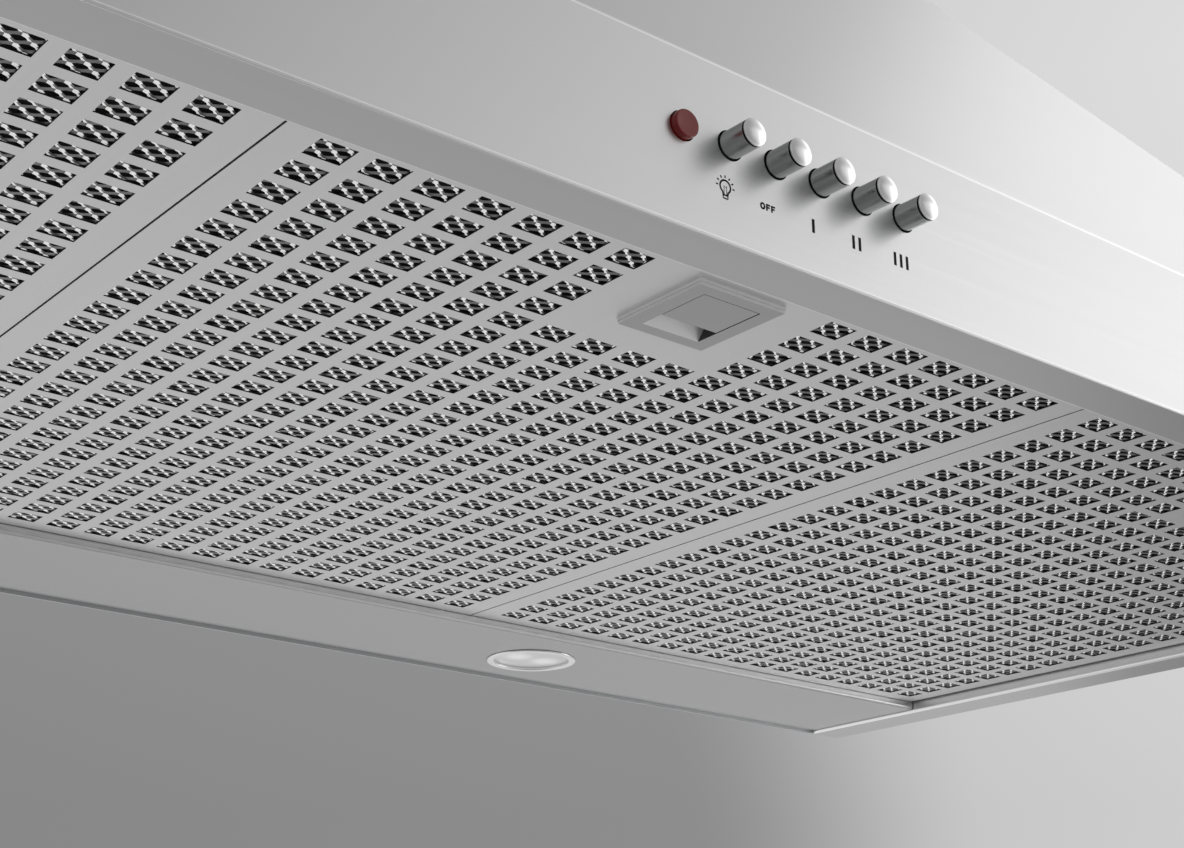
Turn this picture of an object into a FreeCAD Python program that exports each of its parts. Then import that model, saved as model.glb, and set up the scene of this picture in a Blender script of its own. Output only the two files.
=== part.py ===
import FreeCAD, Part
import math
import os
import re

import Sketcher
from FreeCAD import Placement, Rotation, Vector

# A range hood with three grease filters, a pyramid canopy and a push-button fascia.
# Frame: X across the hood (0 at its middle), Y = 0 on the wall face with the room at -Y,
# Z = 0 on the plane of the lower rim, +Z up. All sizes are in millimetres.

SIZES = {
    # canopy and rim, all folded from one gauge of stainless sheet
    "hood_width": 1100,
    "hood_depth": 521,
    "fascia_height": 60.5,
    "gauge": 1.2,
    "fold_radius": 2,
    "top_level": 358,
    "top_width": 360,
    "top_depth": 310,
    "front_skin_run": 1.5,
    "side_skin_run": 1.9,
    "lip_back": 500.6,
    "lip_upturn": 9,
    "flange_edge": 524,
    "hem_height": 8,
    # filters, measured from the wall face unless the name says otherwise
    "filter_level": 6.4,
    "filter_pitch": 347.7,
    "filter_width": 346.9,
    "filter_front": 498,
    "filter_back": 92.3,
    "face_gauge": 0.6,
    "frame_top": 18.4,
    "frame_wall": 1,
    "frame_flange": 9,
    "pad_bottom": 7.1,
    "pad_top": 17.1,
    "pad_margin": 1.3,
    "mesh_layers": 3,
    "mesh_gauge": 0.5,
    "tongue_level": 12.4,
    "tongue_reach": 6.3,
    "tongue_half": 15,
    "tongue_offset": 100,
    # windows punched in each filter face
    "window_columns": 18,
    "window_rows": 25,
    "window_width": 12.4,
    "window_depth": 10.6,
    "window_pitch_x": 18.27,
    "window_pitch_y": 15.66,
    "window_first_row": 483.4,
    "blank_columns": 4,
    "blank_rows": 4,
    # filter latch
    "bezel_proud": 2.2,
    "bezel_base_half": 19.15,
    "bezel_face_half": 18.75,
    "bezel_front": 487.3,
    "bezel_back": 445.2,
    "bezel_slope": 0.4,
    "bezel_draft": 0.1,
    "bezel_skirt_height": 1.1,
    "cup_half": 12.6,
    "cup_front": 481.8,
    "cup_back": 450.7,
    "cup_wall": 1.2,
    "cup_roof": 14,
    "scoop_start": 458.8,
    "slider_half": 12.2,
    "slider_front": 481.4,
    "slider_back": 460.4,
    "slider_bottom": 4.3,
    "slider_top": 7.9,
    "bolt_half": 5,
    "bolt_tip": 500.2,
    "bolt_low": 9.4,
    "bolt_high": 11.2,
    "bolt_play": 0.4,
    "bezel_cup_gap": 0.2,
    "notch_gap": 0.6,
    "web_start": 6,
    "web_length": 10,
    # lamp panel and lamps
    "lamp_level": 1.8,
    "lamp_front": 91.4,
    "lamp_half": 523.4,
    "ledge_top": 12,
    "ledge_depth": 7.4,
    "lamp_x": 250,
    "lamp_y": 45.5,
    "lamp_hole": 24.6,
    "lamp_ring": 25.5,
    "lamp_neck": 24.3,
    "lamp_sight": 21.5,
    "lamp_neck_top": 13,
    "ring_proud": 0.9,
    "ring_bevel": 0.5,
    "ring_gap": 0.1,
    "glass_seat": 0.4,
    "glass_face": 0.6,
    "glass_bevel": 0.3,
    "glass_top": 3,
    "glass_radius": 23.1,
    "can_radius": 23.4,
    "can_wall": 0.8,
    "can_top": 40,
    "can_seat_gap": 3.2,
    "bulb_radius": 6,
    "bulb_length": 22,
    "bulb_inside": 16,
    # buttons, pilot and switch bank
    "control_level": 33.5,
    "pilot_x": -56.4,
    "button_pitch": 19.6,
    "button_radius": 4.65,
    "button_hole": 5.05,
    "button_out": 10.3,
    "button_in": 8,
    "button_gap": 0.6,
    "button_neck": 4,
    "cap_length": 0.4,
    "cap_dome": 1,
    "stem_radius": 2,
    "stem_end": 494,
    "bank_front": 508,
    "bank_back": 474,
    "bank_bore": 2.4,
    "bank_bore_end": 478,
    "bank_margin": 9,
    "bank_half_height": 11,
    "foot_offset": 60,
    "foot_half": 3,
    "spring_front": 490.1,
    "spring_gap": 0.2,
    "spring_wall": 0.5,
    "pilot_proud": 2.5,
    "pilot_plug": 6,
    # blower
    "duct_y": 155,
    "axis_y": 229,
    "axis_level": 168,
    "scroll_wide": 125,
    "scroll_narrow": 91,
    "scroll_turn": 285,
    "blower_half": 70,
    "inlet_radius": 62,
    "wheel_radius": 80,
    "wheel_half": 60,
    "blade_depth": 10,
    "blade_gauge": 1,
    "blade_inset": 0.7,
    "blade_sweep": 3,
    "blade_count": 36,
    "hub_half": 8,
    "motor_radius": 44,
    "motor_start": 12,
    "shaft_radius": 4,
    "shaft_bore": 4.06,
    "arm_width": 14,
    # duct collar and back-draught flaps
    "collar_radius": 74.5,
    "collar_wall": 1,
    "collar_height": 60,
    "collar_flange": 92,
    "collar_shoulder": 78,
    "collar_screw_ring": 84,
    "duct_hole": 78.2,
    "stop_radius": 70,
    "stop_drop": 2.4,
    "stop_gauge": 1.6,
    "flap_radius": 72.7,
    "flap_gauge": 0.8,
    "flap_level": 20,
    "pin_radius": 1.5,
    "knuckle_bore": 1.55,
    "knuckle_radius": 2.6,
    # fixings and mains parts
    "cabinet_bolt_x": 300,
    "cabinet_bolt_y": 240,
    "cabinet_bolt_radius": 2.75,
    "wall_bolt_x": 400,
    "wall_bolt_level": 150,
    "wall_bolt_radius": 4,
    "gland_x": 125,
    "gland_y": 75,
    "gland_bore": 4.5,
    "gland_radius": 8,
    "gland_flange": 11,
    "gland_below": 6,
    "gland_above": 8.8,
    "gland_flange_gauge": 3,
    "terminal_left": 105,
    "terminal_size": 60,
    "terminal_bottom": 205,
    "terminal_out": 42,
    "terminal_wall": 2,
    "terminal_screw_inset": 6,
    "capacitor_left": -165,
    "capacitor_length": 58,
    "capacitor_radius": 16,
    "capacitor_level": 225,
    "screw_head": 3.5,
    "screw_head_height": 2.2,
    "screw_shank": 1.7,
    "overcut": 1,
}

LONG_EDGE = 100
SCREW_TURNS = (45, 135, 225, 315)
BLOWER_SCREWS = ((-70, -78), (50, -95), (-86, 50), (80, 150))
PRESSES = ("light", "off", "one", "two", "three")
SIDES = (("left", -1), ("right", 1))
FILTERS = (("left", "-filter_pitch"), ("centre", "0"), ("right", "filter_pitch"))

doc = FreeCAD.newDocument("RangeHood")
sheet = doc.addObject("Spreadsheet::Sheet", "Sizes")
for line_number, (alias, number) in enumerate(SIZES.items(), start=1):
    sheet.set(f"A{line_number}", alias)
    sheet.set(f"B{line_number}", str(number))
    sheet.setAlias(f"B{line_number}", alias)
doc.recompute()

subparts = []


# ---------------------------------------------------------------- helpers

def ex(text):
    """Expression text with every size name pointed at its cell."""
    return re.sub(r"\b[a-z][a-z_]+\b", lambda m: ("Sizes." if m[0] in SIZES else "") + m[0], str(text))


def value(text):
    """Number that an expression of the sheet comes to."""
    return float(sheet.evalExpression(ex(text)))


def bind(obj, prop, text):
    obj.setExpression(prop, ex(text))


def keep(obj):
    """Marks an object as a sub-part; its Label names its file."""
    subparts.append(obj)
    return obj


def box(name, x, y, z):
    """Box between two x, two y and two z values, each an expression."""
    obj = doc.addObject("Part::Box", name)
    for prop, (low, high) in (("Length", x), ("Width", y), ("Height", z)):
        bind(obj, prop, f"({high}) - ({low})")
    for axis, (low, _) in (("x", x), ("y", y), ("z", z)):
        bind(obj, "Placement.Base." + axis, low)
    return obj


TURNS = {
    "X": Rotation(Vector(0, 1, 0), 90),
    "Y": Rotation(Vector(1, 0, 0), -90),
    "Z": Rotation(),
}


def cylinder(name, axis, base, radius, length):
    """Cylinder from a base point (three expressions) along +X, +Y or +Z."""
    obj = doc.addObject("Part::Cylinder", name)
    obj.Placement = Placement(Vector(), TURNS[axis])
    bind(obj, "Radius", radius)
    bind(obj, "Height", length)
    for letter, text in zip("xyz", base):
        bind(obj, "Placement.Base." + letter, text)
    return obj


def wedge(name, low_x, low_out, low_z, high_x, high_out, high_z):
    """Solid from one level rectangle to another; 'out' is the distance from the wall face."""
    obj = doc.addObject("Part::Wedge", name)
    obj.Placement = Placement(Vector(), Rotation(Vector(1, 0, 0), 90))
    texts = {
        "Xmin": low_x[0], "Xmax": low_x[1], "Zmin": low_out[0], "Zmax": low_out[1], "Ymin": low_z,
        "X2min": high_x[0], "X2max": high_x[1], "Z2min": high_out[0], "Z2max": high_out[1], "Ymax": high_z,
    }
    for prop, text in texts.items():
        bind(obj, prop, text)
    return obj


def fuse(name, *shapes):
    obj = doc.addObject("Part::MultiFuse", name)
    obj.Shapes = list(shapes)
    obj.Refine = True
    return obj


def cut(name, base, *tools):
    obj = doc.addObject("Part::Cut", name)
    obj.Base = base
    obj.Tool = tools[0] if len(tools) == 1 else fuse(name + "_tools", *tools)
    return obj


def mirrored(name, source):
    """Copy of a sub-part on the other side of the middle plane."""
    obj = doc.addObject("Part::Mirroring", name)
    obj.Source = source
    obj.Normal = Vector(1, 0, 0)
    return obj


def rounded(name, base, radius, chosen):
    """Fillet of the edges whose middle points pass the test 'chosen'."""
    doc.recompute()
    obj = doc.addObject("Part::Fillet", name)
    obj.Base = base
    size = value(radius)
    found = []
    for number, edge in enumerate(base.Shape.Edges, start=1):
        middle = edge.valueAt((edge.FirstParameter + edge.LastParameter) / 2)
        if chosen(edge, middle):
            found.append(number)
    obj.Edges = [(number, size, size) for number in found]
    return obj


def near(a, b):
    return abs(a - b) < 1e-4


def new_body(name):
    return doc.addObject("PartDesign::Body", name)


def origin_plane(body, role):
    return next(f for f in body.Origin.OriginFeatures if f.Role == role)


def outline_sketch(body, name, role, points):
    """Closed outline of straight lines; every corner is held by two bound distances."""
    sketch = body.newObject("Sketcher::SketchObject", name)
    sketch.AttachmentSupport = [(origin_plane(body, role), "")]
    sketch.MapMode = "FlatFace"
    corners = [Vector(value(h), value(v), 0) for h, v in points]
    count = len(corners)
    for i in range(count):
        sketch.addGeometry(Part.LineSegment(corners[i], corners[(i + 1) % count]), False)
    for i in range(count):
        sketch.addConstraint(Sketcher.Constraint("Coincident", i, 2, (i + 1) % count, 1))
    for i, pair in enumerate(points):
        for kind, axis_id, text in (("DistanceX", -2, pair[0]), ("DistanceY", -1, pair[1])):
            number = value(text)
            if near(number, 0):
                sketch.addConstraint(Sketcher.Constraint("PointOnObject", i, 1, axis_id))
            else:
                index = sketch.addConstraint(Sketcher.Constraint(kind, -1, 1, i, 1, number))
                bind(sketch, f"Constraints[{index}]", text)
    return sketch


def turned_body(name, points, base, role="XZ_Plane"):
    """Piece turned about its own vertical line, placed by three expressions."""
    body = new_body(name)
    sketch = outline_sketch(body, name + "_profile", role, points)
    turn = body.newObject("PartDesign::Revolution", name + "_turn")
    turn.Profile = sketch
    turn.ReferenceAxis = (sketch, ["V_Axis"])
    turn.Angle = 360
    sketch.Visibility = False
    for letter, text in zip("xyz", base):
        bind(body, "Placement.Base." + letter, text)
    return body


# ---------------------------------------------------------------- canopy

def fascia_panel():
    """Upright front, its bottom lip and the lip's upturned edge, folded from one sheet."""
    half = "hood_width/2"
    across = ("-" + half, half)
    between = (f"-{half} + gauge", f"{half} - gauge")
    wall = box("fascia_wall", across, ("-hood_depth", "-hood_depth + gauge"), ("0", "fascia_height"))
    lip = box("fascia_lip", between, ("-hood_depth", "-lip_back"), ("0", "gauge"))
    turn = box("fascia_upturn", between, ("-lip_back - gauge", "-lip_back"), ("0", "lip_upturn"))
    sheet_metal = fuse("fascia_folded", wall, lip, turn)
    front = -value("hood_depth")
    back = -value("lip_back")
    soft = rounded("fascia_soft", sheet_metal, "fold_radius / 2",
                   lambda e, p: near(p.z, 0) and near(p.x, 0) and (near(p.y, front) or near(p.y, back)))
    holes = [
        cylinder(f"fascia_hole_{i}", "Y",
                 (f"pilot_x + {i} * button_pitch", "-hood_depth - overcut", "control_level"),
                 "button_hole", "gauge + 2 * overcut")
        for i in range(len(PRESSES) + 1)
    ]
    return keep(cut("fascia_panel", soft, *holes))


def side_skirts():
    """Upright side, bottom flange and the flange's upturned hem."""
    half = "hood_width/2"
    run = ("-lip_back", "-gauge")
    wall = box("skirt_wall", (f"{half} - gauge", half), ("-hood_depth + gauge", "-gauge"),
               ("0", "fascia_height"))
    flange = box("skirt_flange", ("flange_edge", half), run, ("0", "gauge"))
    hem = box("skirt_hem", ("flange_edge", "flange_edge + gauge"), run, ("0", "hem_height"))
    folded = fuse("skirt_folded", wall, flange, hem)
    folds = (value(half), value("flange_edge"))

    def is_fold(edge, middle):
        return near(middle.z, 0) and edge.Length > LONG_EDGE and any(near(middle.x, x) for x in folds)

    right = rounded("right_skirt", folded, "fold_radius / 2", is_fold)
    keep(right)
    keep(mirrored("left_skirt", right))


def canopy_panels():
    """Front and side slopes of the pyramid; the side slopes butt on the front slope's inner face."""
    half = "hood_width/2"
    top = "top_width/2"
    keep(wedge("canopy_front",
               ("-" + half, half), ("hood_depth - front_skin_run", "hood_depth"), "fascia_height",
               ("-" + top, top), ("top_depth - front_skin_run", "top_depth"), "top_level"))
    right = wedge("canopy_right",
                  (f"{half} - side_skin_run", half), ("gauge", "hood_depth - front_skin_run"),
                  "fascia_height",
                  (f"{top} - side_skin_run", top), ("gauge", "top_depth - front_skin_run"), "top_level")
    keep(right)
    keep(mirrored("canopy_left", right))


def back_panel():
    """Flat back with two wall-bolt holes."""
    half = "hood_width/2"
    low = box("back_low", ("-" + half, half), ("-gauge", "0"), ("0", "fascia_height"))
    high = wedge("back_high", ("-" + half, half), ("0", "gauge"), "fascia_height",
                 ("-top_width/2", "top_width/2"), ("0", "gauge"), "top_level")
    holes = [
        cylinder(f"wall_hole_{side}", "Y", (f"{sign} * wall_bolt_x/2", "-gauge - overcut", "wall_bolt_level"),
                 "wall_bolt_radius", "gauge + 2 * overcut")
        for side, sign in SIDES
    ]
    keep(cut("back_panel", fuse("back_sheet", low, high), *holes))


def top_plate():
    """Flat top with the duct hole, four cabinet bolts, the collar's screws and the mains gland's hole."""
    plate = box("top_sheet", ("-top_width/2", "top_width/2"), ("-top_depth", "0"),
                ("top_level", "top_level + gauge"))

    def hole(name, x, y, radius):
        return cylinder(name, "Z", (x, y, "top_level - overcut"), radius, "gauge + 2 * overcut")

    holes = [hole("duct_opening", "0", "-duct_y", "duct_hole"),
             hole("gland_opening", "gland_x", "-gland_y", "gland_radius")]
    for side, sign in SIDES:
        for row in (-1, 1):
            holes.append(hole(f"cabinet_hole_{side}_{row}", f"{sign} * cabinet_bolt_x/2",
                              f"-duct_y + {row} * cabinet_bolt_y/2", "cabinet_bolt_radius"))
    for turn in SCREW_TURNS:
        holes.append(hole(f"plate_screw_hole_{turn}", f"cos({turn}) * collar_screw_ring",
                          f"-duct_y + sin({turn}) * collar_screw_ring", "screw_shank"))
    keep(cut("top_plate", plate, *holes))


def lamp_panel():
    """Rear underside panel; its front wall ends in the ledge that the filter tongues rest on."""
    across = ("-lamp_half", "lamp_half")
    floor = box("lamp_floor", across, ("-lamp_front", "-gauge"), ("lamp_level", "lamp_level + gauge"))
    wall = box("lamp_wall", across, ("-lamp_front", "-lamp_front + gauge"), ("lamp_level", "ledge_top"))
    ledge = box("lamp_ledge", across, ("-lamp_front", "-lamp_front + ledge_depth"),
                ("ledge_top - gauge", "ledge_top"))
    folded = fuse("lamp_folded", floor, wall, ledge)
    front = -value("lamp_front")
    level = value("lamp_level")
    soft = rounded("lamp_soft", folded, "fold_radius / 2",
                   lambda e, p: near(p.z, level) and near(p.y, front) and e.Length > LONG_EDGE)
    holes = [
        cylinder(f"lamp_hole_{side}", "Z", (f"{sign} * lamp_x", "-lamp_y", "lamp_level - overcut"),
                 "lamp_hole", "gauge + 2 * overcut")
        for side, sign in SIDES
    ]
    keep(cut("lamp_panel", soft, *holes))


# ---------------------------------------------------------------- filters

def filter_face(side, middle):
    """Punched face plate. Its windows are inner wires of one face, cut in a single extrusion."""
    cx = value(middle)
    half = value("filter_width") / 2
    level = value("filter_level")

    def loop(x0, x1, y0, y1):
        corners = ((x0, y0), (x1, y0), (x1, y1), (x0, y1), (x0, y0))
        return Part.makePolygon([Vector(x, y, level) for x, y in corners])

    columns = int(value("window_columns"))
    rows = int(value("window_rows"))
    blank_from = (columns - int(value("blank_columns"))) // 2
    blank_rows = int(value("blank_rows"))
    half_w = value("window_width") / 2
    half_d = value("window_depth") / 2
    wires = [loop(cx - half, cx + half, -value("filter_front"), -value("filter_back"))]
    for column in range(columns):
        x = cx + (column - (columns - 1) / 2) * value("window_pitch_x")
        for row in range(rows):
            if row < blank_rows and blank_from <= column < columns - blank_from:
                continue
            y = -value("window_first_row") + row * value("window_pitch_y")
            wires.append(loop(x - half_w, x + half_w, y - half_d, y + half_d))
    rim = value("cup_wall + bezel_cup_gap")
    across = value("cup_half") + rim
    wires.append(loop(cx - across, cx + across, -value("cup_front") - rim, -value("cup_back") + rim))
    obj = doc.addObject("Part::Feature", f"{side}_filter_face")
    obj.Shape = Part.makeFace(wires, "Part::FaceMakerBullseye").extrude(Vector(0, 0, value("face_gauge")))
    keep(obj)


def filter_frame(side, middle):
    """Channel frame round the mesh, with two rear tongues and a slot for the latch bolt."""
    tag = side + "_frame_"
    half = "filter_width/2"

    def inset(name, margin, z):
        return box(tag + name, (f"{middle} - {half} + {margin}", f"{middle} + {half} - {margin}"),
                   (f"-filter_front + {margin}", f"-filter_back - {margin}"), z)

    bottom = "filter_level + face_gauge"
    block = inset("block", "0", (bottom, "frame_top"))
    channel = inset("channel", "frame_wall", (f"{bottom} - overcut", "frame_top - frame_wall"))
    opening = inset("opening", "frame_flange", (bottom, "frame_top + overcut"))
    slot = box(tag + "slot", (f"{middle} - bolt_half - bolt_play", f"{middle} + bolt_half + bolt_play"),
               ("-filter_front - overcut", "-filter_front + frame_wall + overcut"),
               ("bolt_low - bolt_play", "bolt_high + bolt_play"))
    ring = cut(tag + "ring", block, channel, opening, slot)
    tongues = []
    for row in (-1, 1):
        centre = f"{middle} + {row} * tongue_offset"
        tongues.append(box(f"{tag}tongue_{row}", (f"{centre} - tongue_half", f"{centre} + tongue_half"),
                           ("-filter_back - frame_wall", "-filter_back + tongue_reach"),
                           ("tongue_level", "tongue_level + gauge")))
    keep(fuse(f"{side}_filter_frame", ring, *tongues))


def filter_mesh(side, middle):
    """Evenly spaced layers of expanded metal, each a thin sheet here, notched round the latch."""
    tag = side + "_mesh_"
    reach = "filter_width/2 - pad_margin"
    layers = int(value("mesh_layers"))
    step = f"(pad_top - pad_bottom - mesh_gauge) / {layers - 1}"
    sheets = [
        box(f"{tag}layer_{i}", (f"{middle} - ({reach})", f"{middle} + {reach}"),
            ("-filter_front + pad_margin", "-filter_back - pad_margin"),
            (f"pad_bottom + {i} * {step}", f"pad_bottom + {i} * {step} + mesh_gauge"))
        for i in range(layers)
    ]
    pad = fuse(tag + "pad", *sheets)
    room = "cup_half + cup_wall + notch_gap"
    notch = box(tag + "notch", (f"{middle} - ({room})", f"{middle} + {room}"),
                ("-filter_front", "-cup_back + cup_wall + notch_gap"),
                ("pad_bottom - overcut", "pad_top + overcut"))
    keep(cut(f"{side}_filter_mesh", pad, notch))


def latch_bezel(side, middle):
    """Square frame stepped in two, and a cup whose rear floor slopes up from the rim as a finger scoop."""
    tag = side + "_bezel_"
    step = "filter_level - bezel_skirt_height"
    skirt = wedge(tag + "skirt",
                  (f"{middle} - bezel_base_half + bezel_draft", f"{middle} + bezel_base_half - bezel_draft"),
                  ("bezel_back + bezel_draft", "bezel_front - bezel_draft"), step,
                  (f"{middle} - bezel_base_half", f"{middle} + bezel_base_half"),
                  ("bezel_back", "bezel_front"), "filter_level")
    frame = wedge(tag + "frame",
                  (f"{middle} - bezel_face_half", f"{middle} + bezel_face_half"),
                  ("bezel_back + bezel_slope", "bezel_front - bezel_slope"), "filter_level - bezel_proud",
                  (f"{middle} - bezel_face_half - bezel_draft", f"{middle} + bezel_face_half + bezel_draft"),
                  ("bezel_back + bezel_slope - bezel_draft", "bezel_front - bezel_slope + bezel_draft"), step)
    outer = "cup_half + cup_wall"
    inside = (f"{middle} - cup_half", f"{middle} + cup_half")
    cup = box(tag + "cup", (f"{middle} - ({outer})", f"{middle} + {outer}"),
              ("-cup_front - cup_wall", "-cup_back + cup_wall"),
              ("filter_level - gauge / 2", "cup_roof + cup_wall"))
    well = box(tag + "well", inside, ("-cup_front", "-cup_back"),
               ("filter_level - bezel_proud - overcut", "cup_roof"))
    slot = box(tag + "slot", (f"{middle} - bolt_half - bolt_play", f"{middle} + bolt_half + bolt_play"),
               ("-cup_front - cup_wall - overcut", "-cup_front + overcut"),
               ("bolt_low - bolt_play", "bolt_high + bolt_play"))
    shell = cut(tag + "shell", fuse(tag + "solid", frame, skirt, cup), well, slot)
    slope = wedge(tag + "slope",
                  inside, ("cup_back - bezel_cup_gap", "cup_back + bezel_cup_gap"),
                  "filter_level - bezel_proud",
                  inside, ("cup_back - bezel_cup_gap", "scoop_start"), "cup_roof + bezel_cup_gap")
    keep(fuse(f"{side}_latch_bezel", shell, slope))


def latch_slider(side, middle):
    """Thumb plate with a ribbed web and the bolt that reaches to the front lip."""
    tag = side + "_slider_"
    plate = box(tag + "plate", (f"{middle} - slider_half", f"{middle} + slider_half"),
                ("-slider_front", "-slider_back"), ("slider_bottom", "slider_top"))
    across = (f"{middle} - bolt_half", f"{middle} + bolt_half")
    web_end = "-slider_back - web_start"
    web = box(tag + "web", across, (f"{web_end} - web_length", web_end),
              ("slider_top - gauge / 2", "bolt_low + gauge / 2"))
    bolt = box(tag + "bolt", across, ("-bolt_tip", web_end), ("bolt_low", "bolt_high"))
    keep(fuse(f"{side}_latch_slider", plate, web, bolt))


# ---------------------------------------------------------------- controls

def button(name, place):
    """Turned barrel with a stem, and the domed cap pressed on its front."""
    x = f"pilot_x + ({place} + 1) * button_pitch"
    front = "-hood_depth - button_out"
    barrel = cylinder(name + "_sleeve", "Y", (x, front, "control_level"), "button_radius",
                      "button_out + button_in")
    neck = cylinder(name + "_neck", "Y", (x, f"{front} - button_gap", "control_level"), "button_neck",
                    "button_gap + overcut")
    stem = cylinder(name + "_stem", "Y", (x, "-hood_depth + button_in - overcut", "control_level"),
                    "stem_radius", "hood_depth - stem_end - button_in + overcut")
    keep(fuse(f"button_{name}_barrel", barrel, neck, stem))
    base = f"{front} - button_gap"
    disc = cylinder(name + "_disc", "Y", (x, f"{base} - cap_length", "control_level"), "button_radius",
                    "cap_length")
    dome = doc.addObject("Part::Cone", name + "_dome")
    dome.Placement = Placement(Vector(), Rotation(Vector(1, 0, 0), 90))
    bind(dome, "Radius1", "button_radius")
    bind(dome, "Radius2", "button_radius * 0.72")
    bind(dome, "Height", "cap_dome")
    for letter, text in zip("xyz", (x, f"{base} - cap_length", "control_level")):
        bind(dome, "Placement.Base." + letter, text)
    keep(fuse(f"button_{name}_cap", disc, dome))


def pilot_lens():
    """Red lens: a domed head in front of the fascia and a plug behind it."""
    front = -value("hood_depth + pilot_proud")
    rim = value("button_radius")
    head = cylinder("pilot_head", "Y", ("pilot_x", "-hood_depth - pilot_proud", "control_level"),
                    "button_radius", "pilot_proud + gauge + pilot_plug")
    keep(rounded("pilot_lens", head, "gauge / 1.5", lambda e, p: near(p.y, front) and e.Length > rim))


def switch_housing():
    """Block behind the fascia with a blind bore for each stem and one for the pilot's neon."""
    last = f"pilot_x + {len(PRESSES)} * button_pitch"
    centre = f"pilot_x + {len(PRESSES)} * button_pitch / 2"
    height = ("control_level - bank_half_height", "control_level + bank_half_height")
    block = box("bank_block", ("pilot_x - bank_margin", f"{last} + bank_margin"),
                ("-bank_front", "-bank_back"), height)
    bores = [
        cylinder(f"bank_bore_{i}", "Y",
                 (f"pilot_x + {i} * button_pitch", "-bank_front - overcut", "control_level"),
                 "bank_bore", "bank_front - bank_bore_end + overcut")
        for i in range(1, len(PRESSES) + 1)
    ]
    feet = [
        box(f"bank_foot_{side}",
            (f"{centre} + {sign} * foot_offset - foot_half", f"{centre} + {sign} * foot_offset + foot_half"),
            ("-hood_depth + gauge", "-bank_back"), height)
        for side, sign in SIDES
    ]
    keep(fuse("switch_housing", cut("bank_bored", block, *bores), *feet))


def button_springs():
    """Five return springs in the bores, each drawn as a closed sleeve at its pressed length."""
    length = value("spring_front - bank_bore_end - spring_gap / 2")
    outer_radius = value("bank_bore - spring_gap")
    inner_radius = value("bank_bore - spring_gap - spring_wall")
    along = Vector(0, 1, 0)
    solids = []
    for place in range(1, len(PRESSES) + 1):
        x = value(f"pilot_x + {place} * button_pitch")
        centre = Vector(x, -value("spring_front"), value("control_level"))
        outer = Part.makeCylinder(outer_radius, length, centre, along)
        inner = Part.makeCylinder(inner_radius, length, centre, along)
        solids.append(outer.cut(inner))
    obj = doc.addObject("Part::Feature", "button_springs")
    obj.Shape = Part.makeCompound(solids)
    keep(obj)


# ---------------------------------------------------------------- lamps

def lamp(side, sign):
    """Trim ring with its neck, and the frosted glass that rests in it."""
    base = (f"{sign} * lamp_x", "-lamp_y", "0")
    face = "lamp_level - ring_proud"
    seat = "lamp_level + glass_seat"
    ring = turned_body(f"{side}_lamp_ring", [
        ("lamp_sight", face),
        ("lamp_ring - ring_bevel", face),
        ("lamp_ring", f"{face} + ring_bevel"),
        ("lamp_ring", "lamp_level"),
        ("lamp_neck", "lamp_level"),
        ("lamp_neck", "lamp_neck_top"),
        ("can_radius + ring_gap", "lamp_neck_top"),
        ("can_radius + ring_gap", seat),
        ("lamp_sight", seat),
    ], base)
    keep(ring)
    glass = turned_body(f"{side}_lamp_glass", [
        ("0", "lamp_level + glass_face"),
        ("lamp_sight - glass_bevel", "lamp_level + glass_face"),
        ("glass_radius", "lamp_level + glass_face + glass_bevel"),
        ("glass_radius", "lamp_level + glass_top"),
        ("0", "lamp_level + glass_top"),
    ], base)
    keep(glass)


def lamp_insides():
    """Two reflector cans and two bulbs; each pair of equal pieces is one group."""
    low = value("lamp_level + can_seat_gap")
    high = value("can_top")
    wall = value("can_wall")
    radius = value("can_radius")
    bulb = value("bulb_radius")
    bulb_low = value("can_top - bulb_inside")
    up = Vector(0, 0, 1)
    cans = []
    bulbs = []
    for _, sign in SIDES:
        x = value("lamp_x") * sign
        y = -value("lamp_y")
        shell = Part.makeCylinder(radius, high - low, Vector(x, y, low), up)
        room = Part.makeCylinder(radius - wall, high - low - wall, Vector(x, y, low), up)
        socket = Part.makeCylinder(bulb + wall / 4, 3 * wall, Vector(x, y, high - 2 * wall), up)
        cans.append(shell.cut(room).cut(socket))
        glass = Part.makeCylinder(bulb, value("bulb_length"), Vector(x, y, bulb_low), up)
        tip = Part.makeSphere(bulb, Vector(x, y, bulb_low))
        bulbs.append(glass.fuse(tip).removeSplitter())
    for name, solids in (("lamp_cans", cans), ("lamp_bulbs", bulbs)):
        obj = doc.addObject("Part::Feature", name)
        obj.Shape = Part.makeCompound(solids)
        keep(obj)


# ---------------------------------------------------------------- blower

def scroll_region(grow, x, width):
    """Volute outline (a widening spiral joined to the upward outlet), thickened along X."""
    cy = -value("axis_y")
    cz = value("axis_level")
    wide = value("scroll_wide")
    narrow = value("scroll_narrow")
    turn = value("scroll_turn")
    count = 16
    points = []
    for i in range(count + 1):
        angle = math.radians(turn * i / count)
        radius = wide + (narrow - wide) * i / count + grow
        points.append(Vector(x, cy + radius * math.cos(angle), cz - radius * math.sin(angle)))
    spiral = Part.BSplineCurve()
    spiral.interpolate(points)
    foot = Vector(x, points[-1].y, cz)
    edges = [spiral.toShape(), Part.makeLine(points[-1], foot), Part.makeLine(foot, points[0])]
    snail = Part.Face(Part.Wire(edges)).extrude(Vector(width, 0, 0))
    cutoff = cy + narrow * math.cos(math.radians(turn)) - grow
    height = value("top_level - gauge") - cz
    outlet = Part.makeBox(width, cy + wide + grow - cutoff, height, Vector(x, cutoff, cz))
    return snail.fuse(outlet).removeSplitter()


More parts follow.
